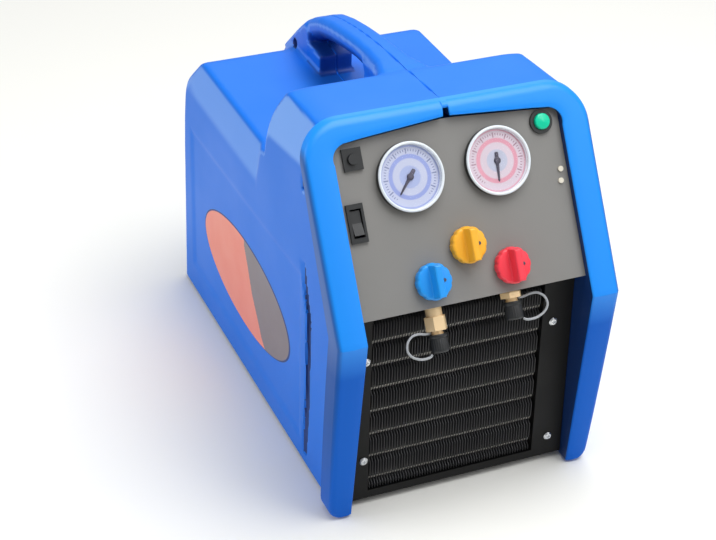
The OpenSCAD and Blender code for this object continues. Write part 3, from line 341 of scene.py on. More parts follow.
def rim_material():
    """Rim plastic: a smoother face above; below, the legs painted a fuller, darker blue as shade and given
    less gloss, and the flanks painted darker as shade.
    """
    m = simple("rim_polypropylene_blue", "#0690fb", "#0689f2", (0.36, 0.42), bump=0.06, bump_mm=0.8,
               scale_mm=90)
    t, b = m.node_tree, m.node_tree.nodes["Principled BSDF"]
    place = add(t, "ShaderNodeSeparateXYZ", {0: add(t, "ShaderNodeTexCoord").outputs["Object"]})
    low = add(t, "ShaderNodeMapRange", {"Value": place.outputs["Z"]}, in_1=0.202, in_2=0.165, in_3=0.0,
              in_4=1.0)
    away = add(t, "ShaderNodeMath", {0: place.outputs["X"]}, operation="ABSOLUTE")
    flank_shade = add(t, "ShaderNodeMapRange", {"Value": away.outputs[0]}, in_1=0.1283, in_2=0.1312, in_3=0.0,
                in_4=0.85)
    # Painted shade: the legs and the flanks a darker blue
    tint(t, b, low.outputs["Result"], "#0361cd")
    tint(t, b, flank_shade.outputs["Result"], "#034e9e")
    gloss = add(t, "ShaderNodeMapRange", {"Value": low.outputs["Result"]}, in_1=0.0, in_2=1.0, in_3=0.45,
                in_4=0.12)
    t.links.new(gloss.outputs["Result"], b.inputs["Specular IOR Level"])
    return m


# Millimetres of the gauge card, counted from its middle, and where its printing lies
CARD_R = 26.9
CARD_SHIFT = 50.0
RING_SCALE = 27.0
TICK_BAND, LONG_TICK_BAND = (21.6, 23.6), (19.8, 24.2)
TICKS_BELOW = -17.0


def card_material(name, ground, band_colour, inner_colour, ink):
    """Printed card: coloured rings by distance from the middle, and ticks where the turn round it, cut into
    equal parts, lies near the edge of a part. No ticks below a line."""
    m, t, b = material(name, ground, 0.45)
    uv = add(t, "ShaderNodeUVMap", uv_map="card")
    mid = add(t, "ShaderNodeVectorMath", {0: uv.outputs[0]}, operation="SUBTRACT",
              in_1=(CARD_SHIFT, CARD_SHIFT, 0.0))
    away = add(t, "ShaderNodeVectorMath", {0: mid.outputs[0]}, operation="LENGTH").outputs["Value"]
    xyz = add(t, "ShaderNodeSeparateXYZ", {0: mid.outputs[0]})
    turn = add(t, "ShaderNodeMath", {0: xyz.outputs[1], 1: xyz.outputs[0]}, operation="ARCTAN2")
    share = add(t, "ShaderNodeMath", {0: away}, operation="DIVIDE", in_1=RING_SCALE)
    rings = add(t, "ShaderNodeValToRGB", {0: share.outputs[0]})
    stops = [(0.0, inner_colour), (0.34, inner_colour), (0.37, ground), (0.56, ground), (0.60, band_colour),
             (0.70, band_colour), (0.73, ground), (0.93, ground), (0.96, band_colour), (1.0, ground)]
    elements = rings.color_ramp.elements
    while len(elements) < len(stops):
        elements.new(0.5)
    for e, (place, colour) in zip(elements, stops):
        e.position = place
        e.color = lin(colour)

    def between(value, low, high):
        over = add(t, "ShaderNodeMath", {0: value}, operation="GREATER_THAN", in_1=low)
        under = add(t, "ShaderNodeMath", {0: value}, operation="LESS_THAN", in_1=high)
        both = add(t, "ShaderNodeMath", {0: over.outputs[0], 1: under.outputs[0]}, operation="MULTIPLY")
        return both.outputs[0]

    def ticks(count, width, low, high):
        out = turn.outputs[0]
        for operation, value in (("MULTIPLY", count / (2 * math.pi)), ("FRACT", 0.5), ("SUBTRACT", 0.5),
                                 ("ABSOLUTE", 0.5), ("GREATER_THAN", 0.5 - width)):
            out = add(t, "ShaderNodeMath", {0: out}, operation=operation, in_1=value).outputs[0]
        drawn = add(t, "ShaderNodeMath", {0: out, 1: between(away, low, high)}, operation="MULTIPLY")
        return drawn.outputs[0]

    both = add(t, "ShaderNodeMath", {0: ticks(60, 0.16, *TICK_BAND), 1: ticks(12, 0.05, *LONG_TICK_BAND)},
               operation="MAXIMUM")
    sweep = add(t, "ShaderNodeMath", {0: xyz.outputs[1]}, operation="GREATER_THAN", in_1=TICKS_BELOW)
    inked = add(t, "ShaderNodeMath", {0: both.outputs[0], 1: sweep.outputs[0]}, operation="MULTIPLY")
    mix = add(t, "ShaderNodeMix", {0: inked.outputs[0], 6: rings.outputs[0]}, data_type="RGBA", in_7=lin(ink))
    t.links.new(mix.outputs[2], b.inputs["Base Color"])
    return m


# Blue polypropylene of the case: satin, with a fine spark-eroded grain that spreads the highlight
M_BLUE = case_material()
# The same plastic off a smoother tool face, so it looks lighter and a little wetter; its legs and flanks
# carry painted shade
M_RIM = rim_material()
# Rim's inner walls, shut in behind the panel: the same blue painted nearly black as shade
M_RIM_IN_SHADE = simple("rim_inner_painted_shade_blue", "#042f6a", "#042a60", (0.45, 0.5), bump=0.05)
# Bottom of the moulded recesses: a narrow line of shade in the blue
M_GROOVE = simple("recess_shadow_blue", "#12387f", "#103272", (0.5, 0.6), bump=0.03)
# Powder-coated panel: warm dark grey, matt, with orange-peel grain
M_PANEL = simple("panel_powder_coat_grey", "#858482", "#7d7c79", (0.5, 0.6), bump=0.2, bump_mm=1.2,
                 scale_mm=60)
# Powder-coated sheet of the tray and the condenser's frame: black with a dull orange-peel grain
M_BLACK = simple("black_powder_coat", "#0b0b0c", "#101011", (0.5, 0.6), bump=0.2, bump_mm=1.0,
                 Specular_IOR_Level=0.25)
# Feet and mounts: dull soft black without a highlight
M_RUBBER = simple("black_rubber", "#161617", "#1c1c1d", (0.7, 0.8), bump=0.2, bump_mm=1.4)
# Printed film of the label: even colours with a soft satin sheen
M_LABEL = simple("label_film_coral", "#f28a76", "#ee836f", (0.35, 0.45), bump=0.03)
M_LABEL_DARK = simple("label_film_dark_grey", "#7f7478", "#887d80", (0.35, 0.45), bump=0.03, scale_mm=25)
# Enamelled steel bezel: cool white with a clean highlight round the lip
M_BEZEL = simple("bezel_white_enamel", "#e6edf4", "#dee6ee", (0.22, 0.3), bump=0.02)
# Dial card and its printing, seen through the lens: matt and pale
M_DIAL_B = simple("dial_card_pale_blue", "#e8ecfb", "#e2e8fa", (0.5, 0.6), bump=0.02)
M_DIAL_R = simple("dial_card_pale_pink", "#f9e6e8", "#f7e0e4", (0.5, 0.6), bump=0.02)
M_CARD_B = card_material("printed_card_blue_rings", "#b6bcd4", "#8b98cf", "#9eaad2", "#7b82a8")
M_CARD_R = card_material("printed_card_pink_rings", "#c9bbc7", "#cf90a2", "#b0b4c8", "#9c7c8c")
# Painted needle and dots: near black, a little violet under the lens
M_NEEDLE = simple("needle_dark_paint", "#4a4758", "#423f4e", (0.4, 0.5), bump=0.02)
# Moulded ABS knobs: clear strong colours with a soft gloss
M_KBLUE = simple("knob_abs_blue", "#1c9cf6", "#1893ea", (0.3, 0.38), bump=0.05)
M_KYEL = simple("knob_abs_yellow", "#fdb830", "#f5ae28", (0.3, 0.38), bump=0.05)
M_KRED = simple("knob_abs_red", "#fa4052", "#f0384a", (0.3, 0.38), bump=0.05)
# Turned brass ports: pale warm metal with fine tool marks
M_BRASS = simple("machined_brass", "#ffe0b0", "#f8d6a2", (0.3, 0.4), metal=0.3, bump=0.1, bump_mm=0.5)
# Nylon caps, switches and housings: charcoal black, half matt
M_BPLAS = simple("black_nylon", "#26282a", "#2b2d2f", (0.4, 0.5), bump=0.15)
# Vinyl straps: flexible pale grey
M_STRAP = simple("strap_grey_vinyl", "#a9adb2", "#9fa3a8", (0.4, 0.5), bump=0.05)
# Acrylic start button and lamps: smooth and glossy, as if lit a little from inside
M_GREEN = simple("button_green_acrylic", "#00cfa2", "#00c79a", (0.24, 0.3), bump=0.0)
M_LAMP = simple("lamp_clear_amber", "#dcd6c6", "#d2ccbc", (0.15, 0.25), bump=0.0)
# Clear lens: it bends light so little that the card below stays in place
M_LENS = material("gauge_lens_acrylic", "#ffffff", 0.03, Transmission_Weight=1.0, IOR=1.12, Alpha=0.25)[0]
# Coated fins: dark grey metal that glints along each edge
M_FIN = simple("fin_black_aluminium", "#4a4a4c", "#434345", (0.35, 0.5), metal=0.3, bump=0.1)
# Condenser tubes: tinned collars show between the fins as bright dashes
M_TUBE = simple("tinned_tube_collars", "#d9d6cf", "#bdbab3", (0.35, 0.5), metal=0.2, scale_mm=3, amount=0.9)
# Pipework: handled copper, warm and slightly dull
M_COPPER = simple("copper_tube", "#c9a07c", "#bd9270", (0.3, 0.42), metal=0.8, bump=0.05)
# Fan and its shroud: half-matt grey nylon
M_FANP = simple("fan_grey_nylon", "#585b60", "#505358", (0.45, 0.55))
# Motor cans: stoved dark grey enamel
M_MOTOR = simple("motor_grey_enamel", "#4a4d52", "#44474c", (0.4, 0.5))
# Compressor castings: bead-blasted aluminium, light grey and rough
M_CAST = simple("die_cast_aluminium", "#9a9ea4", "#8f9399", (0.4, 0.55), metal=0.7, bump=0.3, bump_mm=1.5)
# Screws: bright zinc in front, black oxide in the case
M_SCREW = simple("zinc_screw", "#d2d5d9", "#c6c9ce", (0.2, 0.3), metal=0.9)
M_SCREWB = simple("black_oxide_screw", "#2c2d30", "#26272a", (0.35, 0.45), metal=0.5)

SLOTS = {"blue_shell": M_BLUE, "black_sheet": M_BLACK, "black_rubber": M_RUBBER, "label": M_LABEL,
         "grey_panel": M_PANEL, "gauge_bezel": M_BEZEL, "dial_blue": M_DIAL_B, "dial_red": M_DIAL_R,
         "pointer": M_NEEDLE, "lens": M_LENS, "knob_blue": M_KBLUE, "knob_yellow": M_KYEL, "knob_red": M_KRED,
         "brass": M_BRASS, "black_plastic": M_BPLAS, "strap_plastic": M_STRAP, "green_plastic": M_GREEN,
         "lamp": M_LAMP, "fin_aluminium": M_FIN, "copper": M_COPPER, "fan_plastic": M_FANP,
         "motor_metal": M_MOTOR, "cast_aluminium": M_CAST, "screw_steel": M_SCREW, "screw_black": M_SCREWB}
OWN_MATERIAL = {"front_frame": M_RIM, "condenser_tubes": M_TUBE}
SLOT_OF = {s["node"]: s["material_slot"] for s in frame["record"]["subparts"]}


def dress_nodes():
    """Every CAD node takes the material of its slot, or its own."""
    for name, ob in frame["nodes"].items():
        mat = OWN_MATERIAL.get(name) or SLOTS[SLOT_OF[name]]
        if not ob.data.materials:
            ob.data.materials.append(mat)
        for i in range(len(ob.data.materials)):
            ob.data.materials[i] = mat


dress_nodes()

# Carrying handle: back and height of its top line, thickness and half width there
HANDLE_TOP = np.array([
    (186, 352.6, 32, 24), (206, 351.6, 27, 18.5), (232, 350.0, 23.5, 16.5), (262, 347.0, 22, 16),
    (292, 342.6, 22, 16), (322, 337.0, 22, 16), (348, 330.0, 22, 16), (367, 321.5, 22.5, 16),
    (383, 312.0, 23.5, 16), (396, 302.0, 25, 16), (407, 293.0, 27, 16), (417, 284.0, 29, 16.2),
    (427, 274.0, 30, 16.6), (436, 262.0, 30, 17)])
HANDLE_ROUND = 8.0


def handle_centreline():
    """The top line moved in by half the thickness, square to itself, with that thickness and half width."""
    y, z, thick, half_w = HANDLE_TOP.T
    slope = np.gradient(z, y)
    into = 0.5 * thick / np.hypot(1, slope)
    return np.stack([y + into * slope, z - into, thick, half_w], axis=1)


HANDLE = handle_centreline()


def handle_field(x, y, z):
    """Tube of rounded-box section along the centreline, its sides drawn in below the middle."""
    best = None
    for (y0, z0, t0, w0), (y1, z1, t1, w1) in zip(HANDLE[:-1], HANDLE[1:]):
        ey, ez = y1 - y0, z1 - z0
        span = ey * ey + ez * ez
        s = np.clip(((y - y0) * ey + (z - z0) * ez) / span, 0.0, 1.0)
        dy, dz = y - y0 - s * ey, z - z0 - s * ez
        above = (dz * ey - dy * ez) / math.sqrt(span)
        half_t = (t0 + (t1 - t0) * s) / 2
        half_w = w0 + (w1 - w0) * s - 0.35 * np.clip(-above, 0.0, 12.0)
        qx, qn = np.abs(x) - (half_w - HANDLE_ROUND), np.sqrt(dy * dy + dz * dz) - (half_t - HANDLE_ROUND)
        d = np.sqrt(np.maximum(qx, 0) ** 2 + np.maximum(qn, 0) ** 2) + np.minimum(np.maximum(qx, qn), 0)
        best = d if best is None else np.minimum(best, d)
    return best - HANDLE_ROUND


# Flat faces of the case, seen edge on: the first across and up, the others back and up
BEVEL = (CASE_HALF, 234.0, 0.98995, 0.14142)
REAR = (459.0, 3.0, 0.998, 0.0642712)
REAR_BEVEL = (444.0, 236.0, 0.698, 0.716)
HEAD_BACK_HIGH = (181.5, 348.0, 0.735, 0.678)
HEAD_BACK_MID = (201.5, 319.0, 0.823, 0.568)
HEAD_BACK_LOW = (205.0, 296.0, 0.985, 0.171)
FRONT_LOW = (46.0, 3.0, -0.9937, -0.1125167)
FRONT_HIGH = (24.0, KINK, -0.8889, 0.457988)
BOX_TOP, HEAD_TOP = 276.0, 357.6
# Panel sunk into each side, and how deep
SIDE_PANEL = [(114, 206), (252, 201), (424, 197), (430, 30), (118, 22)]
SUNK = 1.6
# Groove down each side with its width, its screw slots, and the screw hole in the handle's root
GROOVE = [(108, 219), (93, 167), (96, 77), (103, 13)]
GROOVE_W = 11
SIDE_SCREWS = [(112, 296.4), (64, 227.2)]
ROOT_SCREW = (399.0, 281.5)
# Vents: middle and half width of a row, first row, spacing and half height; mains inlet hole
VENT_X, VENT_HALF, VENT_Z, VENT_STEP, VENT_H = 53.0, 39.0, 63.0, 15.0, 3.0
INLET_X, INLET_Z = 60.0, 30.0
# Slanted planes move in by this much more inside, so that a grid cell never holds both faces of the wall
INSIDE_MORE = 0.9


def draft_at(z):
    """How far the case's side is drawn in at a height."""
    return DRAFT * np.clip((DRAFT_TOP - z) / (DRAFT_TOP - UNDERSIDE), 0.0, 1.0)


def case_field(x, y, z, more=0.0):
    """Rear box and raised head: planes joined by smooth maxima, then by a smooth minimum, then cut by the
    sides with their sunk panel. The slanted planes can be moved in by some more, for the inside."""
    ax = np.abs(x)
    sunk = SUNK * ramp(-polygon_distance(y, z, SIDE_PANEL, -8.0), -9.0, 1.0)
    side = ax - (CASE_HALF - draft_at(z) - sunk)
    bevel = plane(ax, z, BEVEL) - 0.4 * np.maximum(0.0, 232.0 - y) + 1.6 * more
    rear = smax(plane(y, z, REAR), plane(y, z, REAR_BEVEL) + more, 9.0)
    box = smax(smax(bevel, z - BOX_TOP, 5.0), rear, 8.0)
    facet = ((ax - CASE_HALF) + 0.19 * (z - 313.0 + 0.14 * (y - 113.0))) / 1.0182
    top = (z - HEAD_TOP + 0.062 * (y - 110.0)) * 0.9981
    chamfer = (ax - 100.0) * 0.225 + top * 0.974
    curl = 0.8 * np.clip((ax - 98.0) / 16.0, 0.0, 2.0) ** 2
    back = smax(plane(y, z, HEAD_BACK_HIGH) + curl + more, plane(y, z, HEAD_BACK_MID) + more, 4.0)
    back = smax(back, plane(y, z, HEAD_BACK_LOW), 6.0)
    head = smax(smax(smax(facet, chamfer, 3.0), top, 2.5), back, 6.0)
    return smax(smin(box, head, 5.0), side, 2.0 + 6.0 * ramp(y, 400.0, 445.0))


def handle_on_case(x, y, z):
    """The case with its handle, the handle's front pillar and its two stepped rear roots blended in."""
    half_w = np.abs(x) - 17.0
    low_end = 268.0 - z
    out = smin(case_field(x, y, z), handle_field(x, y, z), 6.0 + 8.0 * ramp(y, 400.0, 430.0))
    pillar = smax((y - 241.0) + (z - 273.0) * 0.15, half_w + 0.5, 4.0)
    pillar = smax(np.maximum(192.0 - y, low_end), pillar, 3.0)
    out = smin(out, np.maximum(pillar, z - 338.0), 7.0)
    under = (z - 309.0 + 0.9 * (y - 380.0)) * 0.743
    low_root = smax(smax(336.0 - y, half_w, 4.0), z - 294.5 - 0.09 * (y - 336.0), 3.0)
    low_root = np.maximum(np.maximum(low_root, under), low_end)
    high_top = smax((z - 305.0 - 0.643 * (y - 366.0)) * 0.84, under, 4.0)
    high_root = np.maximum(smax(smax(365.5 - y, half_w, 4.0), high_top, 3.0), low_end)
    return smin(out, smin(low_root, high_root, 2.0), 5.0)


def recess_field(x, y, z):
    """Side groove, its two screw slots, and the screw hole in the handle's root."""
    ax = np.abs(x)
    groove_line = GROOVE + [(a + GROOVE_W, b) for a, b in GROOVE[::-1]]
    best = np.maximum(polygon_distance(y, z, groove_line), 116.4 - ax + 0.34 * np.clip(y - 104.0, -8.0, 12.0))
    for sy, sz in SIDE_SCREWS:
        s = np.sqrt((y - sy) ** 2 + np.maximum(np.abs(z - sz) - 3.5, 0.0) ** 2) - 3.4
        best = np.minimum(best, np.maximum(s, 117.0 - ax))
    hole = np.sqrt((y - ROOT_SCREW[0]) ** 2 + (z - ROOT_SCREW[1]) ** 2) - 4.8
    return np.minimum(best, np.maximum(hole, x + 14.0))


def back_openings(x, y, z):
    """Rows of vents on each side of the back, and the hole for the mains inlet."""
    row = z - VENT_Z - VENT_STEP * np.clip(np.round((z - VENT_Z) / VENT_STEP), 0, 8)
    vents = np.maximum(np.abs(np.abs(x) - VENT_X) - VENT_HALF, np.abs(row) - VENT_H)
    inlet = np.maximum(np.abs(x - INLET_X) - 13.5, np.abs(z - INLET_Z) - 10.0)
    return np.maximum(np.minimum(vents, inlet), 430.0 - y)


def shell_field(x, y, z):
    """Outer form with handle, less the cavity, recesses, open front, what is below, vents and inlet."""
    recess = recess_field(x, y, z)
    cavity = np.maximum(case_field(x, y, z, INSIDE_MORE) + WALL, WALL - recess)
    d = np.maximum(np.maximum(handle_on_case(x, y, z), -cavity), -recess)
    d = np.maximum(d, np.maximum(plane(y, z, FRONT_LOW), plane(y, z, FRONT_HIGH)))
    return np.maximum(np.maximum(d, UNDERSIDE - z), -back_openings(x, y, z))


# Grid of the shells' net, finer beside the parting plane, and the gap that parts the halves
NET_STEP = 2.35
NET_NEAR_SEAM = [-0.6, 0.0, 0.7, 1.6, 2.8, 4.4, 6.2]
SEAM_GAP = 0.05


def shell_half(side):
    """One moulded half up to the parting plane."""
    xs = np.array(NET_NEAR_SEAM + list(np.arange(8.4, 126.0, NET_STEP)))
    xs = xs if side > 0 else -xs[::-1]
    return surface_net(lambda x, y, z: np.maximum(shell_field(x, y, z), SEAM_GAP - side * x), xs,
                       np.arange(18.0, 464.0, NET_STEP), np.arange(-0.4, 364.0, NET_STEP))


def mark_faces(ob, side):
    """Shares from 0 to 1 stored on the points, each a product of steps of the normal and the place: painted
    sheen on the steep slanted planes, painted shade on the edge of the head's top and on shut-in faces round
    the handle."""
    me = ob.data
    nor, co = np.zeros(len(me.vertices) * 3, np.float32), np.zeros(len(me.vertices) * 3, np.float32)
    me.vertices.foreach_get("normal", nor)
    me.vertices.foreach_get("co", co)
    out, ny, nz = (nor.reshape(-1, 3) * [side, 1, 1]).T
    x, y, z = (co.reshape(-1, 3) * 1000.0 + [0, HALF_DEPTH, 0]).T
    ax = np.abs(x)
    # Painted sheen on the steep slanted planes
    slant_sheen = ramp(out, 0.90, 0.96) * ramp(nz, 0.05, 0.11) * ramp(z, 230.0, 236.0)
    slant_sheen *= np.where(y < 206.0, 0.95, 0.6)
    # Painted shade on the rolled edge of the head's top
    roll_shade = ramp(out, 0.07, 0.2) * ramp(nz, 0.9, 0.95) * ramp(z, 335.0, 342.0) * ramp(ax, 92.0, 102.0)
    # Painted shade on the shut-in faces round the handle's roots, under it and below it
    root = ramp(-ny, 0.2, 0.5) * (ax < 18.5) * (y > 330.0) * (y < 372.0) * (z > 277.0)
    shelf = ramp(nz, 0.5, 0.8) * (ax < 18.5) * (y > 330.0) * (y < 366.0) * (z < 312.0)
    under = ramp(-nz, 0.1, 0.5) * (ax < 20.0) * (y > 215.0) * (z > 285.0)
    below = ramp(nz, 0.7, 0.9) * ramp(-ax, -46.0, -14.0) * ramp(y, 205.0, 235.0) * ramp(-y, -372.0, -330.0)
    deep_shade = np.maximum(np.maximum(root, shelf), np.maximum(under, 0.7 * below * (z < 282.0)))
    for name, values in (("slant_sheen", slant_sheen), ("roll_shade", roll_shade), ("deep_shade", deep_shade)):
        share = np.clip(values, 0.0, 1.0).astype(np.float32)
        me.attributes.new(name, "FLOAT", "POINT").data.foreach_set("value", share)


def build_case():
    """The two moulded halves, their recessed faces in the shadow blue."""
    for side, name, stood in ((-1, "case_left_half", "left_shell"), (1, "case_right_half", "right_shell")):
        pts, quads = shell_half(side)
        half = mesh_piece(name, to_m(pts), quads, [M_BLUE, M_GROOVE], stands_for=(stood,),
                          flat_angle=34)
        mark_faces(half, side)
        x, y, z = pts[quads].mean(axis=1).T
        second_material(half, (recess_field(x, y, z) < 0.6) & (np.abs(x) < 118.9))


build_case()


# Rim: one profile carried round the slanted face and both legs
LEG_OUTLINE = ((3, 123.4), (4.2, 125.4), (6.2, 127.0), (9.5, 128.2), (14, 128.8), (30, 129.3), (60, 130.2),
               (100, 131.0), (150, 131.7), (KINK, RIM_HALF))
LEG_RUN = 22.0
LEG_BAND = 15.9
CORNER = 37.0
TOP_PLACES = (-80, -60, -40, -25, -14, -7, -3.1)
# Notch at the middle of the top: half width and what is left of the band there
NOTCH, NOTCH_BAND = 2.7, 5.4
EDGE_R, SMALL_EDGE_R = 5.5, 2.0
INNER_R = 1.5
LIP = 2.5


def rim_stations():
    """Places round the left half of the rim: outer point, inward direction, band width, depth to the seam."""
    out = []
    for z, half in LEG_OUTLINE:
        s = (z - UNDERSIDE) / (KINK - UNDERSIDE)
        band = LEG_BAND + half - LEG_OUTLINE[0][1] + 2.0 * s
        out.append(((-half, LEG_RUN - LEG_RUN * s, z), (1, 0, 0), band, SEAM_LOW))

    def slanted(x, v, inward, band):
        depth = SEAM_LOW + (SEAM_TOP - SEAM_LOW) * v / FACE_LEN
        out.append(((x, v * SN, KINK + v * CS), inward, band, depth))

    for v in np.linspace(14.0, FACE_LEN - CORNER - 3.0, 9):
        slanted(-RIM_HALF, v, (1, 0, 0), SIDE_BAND)
    for a in np.linspace(0.0, math.pi / 2, 15):
        band = SIDE_BAND + (TOP_BAND - SIDE_BAND) * a / (math.pi / 2)
        slanted(-RIM_HALF + CORNER - CORNER * math.cos(a), FACE_LEN - CORNER + CORNER * math.sin(a),
                (math.cos(a), -math.sin(a) * SN, -math.sin(a) * CS), band)
    for x in TOP_PLACES:
        slanted(x, FACE_LEN, (0, -SN, -CS), TOP_BAND - 8.0 * (100 + x) / 100.0)
    slanted(-NOTCH, FACE_LEN, (0, -SN, -CS), NOTCH_BAND)
    return out


def rim_section(band, depth, wall_in):
    """Inward and back of the section's points: rounded outer edge, slightly crowned face, small inner
    rounding, inner wall and back."""
    def crown(w):
        return 0.9 * (2.0 * w / band - 1.0) ** 2

    r = EDGE_R if band > 7 else SMALL_EDGE_R
    pts = [(0.0, depth), (0.0, 6.4 + 0.5 * (depth - 6.4))]
    for a in np.linspace(0.0, math.pi / 2, 8):
        pts.append((r - r * math.cos(a), r - r * math.sin(a) + crown(r) * math.sin(a)))
    for share in (0.4, 0.55, 0.7, 0.83):
        w = r + (band - 2.0 - r) * share
        pts.append((w, crown(w)))
    for a in np.linspace(0.0, math.pi / 2, 5):
        pts.append((band - INNER_R + INNER_R * math.sin(a), crown(band) + INNER_R - INNER_R * math.cos(a)))
    pts += [(band, 0.5 * wall_in + 1.0), (band, wall_in), (band - LIP, wall_in), (band - LIP, depth)]
    return np.array(pts)


def rim_mesh():
    """The section at each station of the left half, then the same mirrored, joined ring to ring. Returns the
    points, the faces and which of them are the inner wall."""
    rings = []
    for place, inward, band, depth in rim_stations():
        wall_in = max(16.0, 38.0 - place[1])
        across, back = rim_section(band, depth, wall_in).T[:, :, None]
        rings.append(np.array(place) + np.array(inward) * across + np.array([0.0, 1.0, 0.0]) * back)
    rings = np.array(rings + [r * [-1, 1, 1] for r in rings[::-1]])
    faces = capped_rings(*rings.shape[:2])
    number = np.arange(len(faces)) % rings.shape[1]
    inner = (number >= rings.shape[1] - 5) & (number <= rings.shape[1] - 3)
    inner[-2:] = False
    return rings.reshape(-1, 3), faces, inner


def build_rim():
    """The front rim, its inner wall painted dark blue as shade."""
    verts, faces, inner = rim_mesh()
    rim = mesh_piece("front_rim", to_m(verts), faces, [M_RIM, M_RIM_IN_SHADE], stands_for=("front_frame",),
                     flat_angle=24)
    second_material(rim, inner)


build_rim()

# Valve knobs: place on the panel and material of each, and where they seat
KNOBS = {"blue": (-37.0, 42.0, M_KBLUE), "yellow": (0.0, 66.5, M_KYEL), "red": (37.0, 42.0, M_KRED)}
KNOB_W = PANEL_W + 1.0
KNOB_R = 15.9
KNOB_GRID = np.arange(-18.3, 18.6, 0.5)
DOT = [(1.5, 7.0), (1.5, 8.5), (1.2, 8.9), (0.5, 9.0)]
DOT_OUT = 8.2


def knob_field(x, y, z):
    """Disc with twelve scallops smoothly joined to a tapered ridge with rounded ends."""
    r = np.sqrt(x * x + y * y)
    fold = (np.arctan2(y, x) + math.pi / 12) % (math.pi / 6) - math.pi / 12
    fold = np.where(fold >= 0, fold - math.pi / 12, fold + math.pi / 12)
    scallop = np.sqrt((r * np.cos(fold) - 17.6) ** 2 + (r * np.sin(fold)) ** 2) - 2.3
    disc = smax(smax(r - KNOB_R, -scallop, 0.8), z - (8.3 - 0.004 * r * r), 2.2)
    ridge = np.maximum(np.abs(x) - (4.3 - 0.055 * z), np.abs(y) - (14.8 - 0.06 * z))
    ridge = smax(smax(ridge, z - 19.6, 1.6), r - 15.2, 1.2)
    return np.maximum(smin(disc, ridge, 1.4), -z)


def build_knobs():
    """Three scalloped knobs, each with a dark dot on its skirt."""
    pts, quads = surface_net(knob_field, KNOB_GRID, KNOB_GRID, np.arange(-0.7, 21.0, 0.5), reach=0.3)
    dot_v, dot_f = lathe(DOT, 24)
    for colour, (kx, kv, mat) in KNOBS.items():
        mesh_piece("knob_grip_" + colour, on_panel(pts, kx, kv, KNOB_W), quads, [mat], body=colour + "_knob",
                   stands_for=("knob_" + colour,), flat_angle=40)
        mesh_piece("knob_dot_" + colour, on_panel(dot_v + [DOT_OUT, 0, 0], kx, kv, KNOB_W), dot_f, [M_NEEDLE],
                   body=colour + "_knob", flat_angle=40)


build_knobs()

# Gauges: place across the panel, needle's rest angle in degrees, card and its slot
GAUGES = {"left": (-40.5, 140, M_CARD_B, "dial_blue"), "right": (40.5, 176, M_CARD_R, "dial_red")}
GAUGE_V = FACE_LEN - TOP_BAND - 36.0
CARD_H = 2.7
NEEDLE_H = 3.0
# Gauge case: back, wall, flange, rolled lip and the inside down to the back
CASE_PROFILE = [(0.5, -26.0), (25.0, -26.0), (26.0, -25.0), (26.0, 0.0), (29.0, 0.0)] + \
    arc(28.6, 1.3, 1.25, -80, 0, 4) + arc(28.55, 6.1, 1.3, 0, 180, 13) + \
    [(27.2, 4.4), (27.0, 1.6), (25.0, 0.0), (24.9, -24.6), (0.5, -24.8)]
CASE_SIDES = 120
BLACK_WALL = (3, 8)
NEEDLE = np.array([(-1.7, -7.0), (-1.9, -3.0), (-1.5, 3.0), (-0.75, 17.0), (0.0, 18.0), (0.75, 17.0),
                   (1.5, 3.0), (1.9, -3.0), (1.7, -7.0), (0.0, -7.6)])
HUB = [(3.0, 0.1), (3.0, 0.9)] + arc(1.9, 0.8, 1.1, 0, 90, 5) + [(0.4, 2.0)]


def card_mesh(rings=28, sides=96):
    """A flat disc of a middle point and rings round it, with a short wall below its edge and a cap."""
    turn = np.arange(sides) * 2 * math.pi / sides
    r = (CARD_R * np.append(np.arange(1, rings + 1), rings) / rings)[:, None]
    h = np.append(np.full(rings, CARD_H), CARD_H - 1.0)[:, None] + 0.0 * turn
    ring_v = np.stack([r * np.cos(turn), r * np.sin(turn), h], axis=-1).reshape(-1, 3)
    k = np.arange(sides)
    fan = np.stack([0 * k, 1 + k, 1 + (k + 1) % sides], axis=1).tolist()
    walls = (ring_faces(rings + 1, sides)[:, [0, 3, 2, 1]] + 1).tolist()
    cap = (1 + rings * sides + k[::-1]).tolist()
    return np.concatenate([[(0.0, 0.0, CARD_H)], ring_v]), fan + walls + [cap]


def build_card(side, gx, mat):
    """The printed card, whose UV is its own millimetres from the middle, shifted to stay positive."""
    verts, faces = card_mesh()
    ob = mesh_piece("gauge_card_" + side, on_panel(verts, gx, GAUGE_V, PANEL_W), faces, [mat], body="machine",
                    stands_for=("gauge_dial_" + side,), flat_angle=30)
    loops = np.zeros(len(ob.data.loops), np.int32)
    ob.data.loops.foreach_get("vertex_index", loops)
    place = (verts[:, :2] + CARD_SHIFT)[loops].astype(np.float32)
    ob.data.uv_layers.new(name="card").data.foreach_set("uv", place.ravel())


def needle_mesh():
    """The needle's outline and a narrower, raised copy of it, joined, with a turned hub."""
    n = len(NEEDLE)
    low = np.pad(NEEDLE, ((0, 0), (0, 1)))
    high = np.pad(NEEDLE * [0.6, 0.99], ((0, 0), (0, 1)), constant_values=0.9)
    hub_v, hub_f = lathe(HUB, 32)
    k = np.arange(n)
    sides = np.stack([k, n + k, n + (k + 1) % n, (k + 1) % n], axis=1).tolist()
    faces = [k.tolist(), (n + k[::-1]).tolist()] + sides + [[i + 2 * n for i in f] for f in hub_f]
    return np.concatenate([low, high, hub_v]), faces


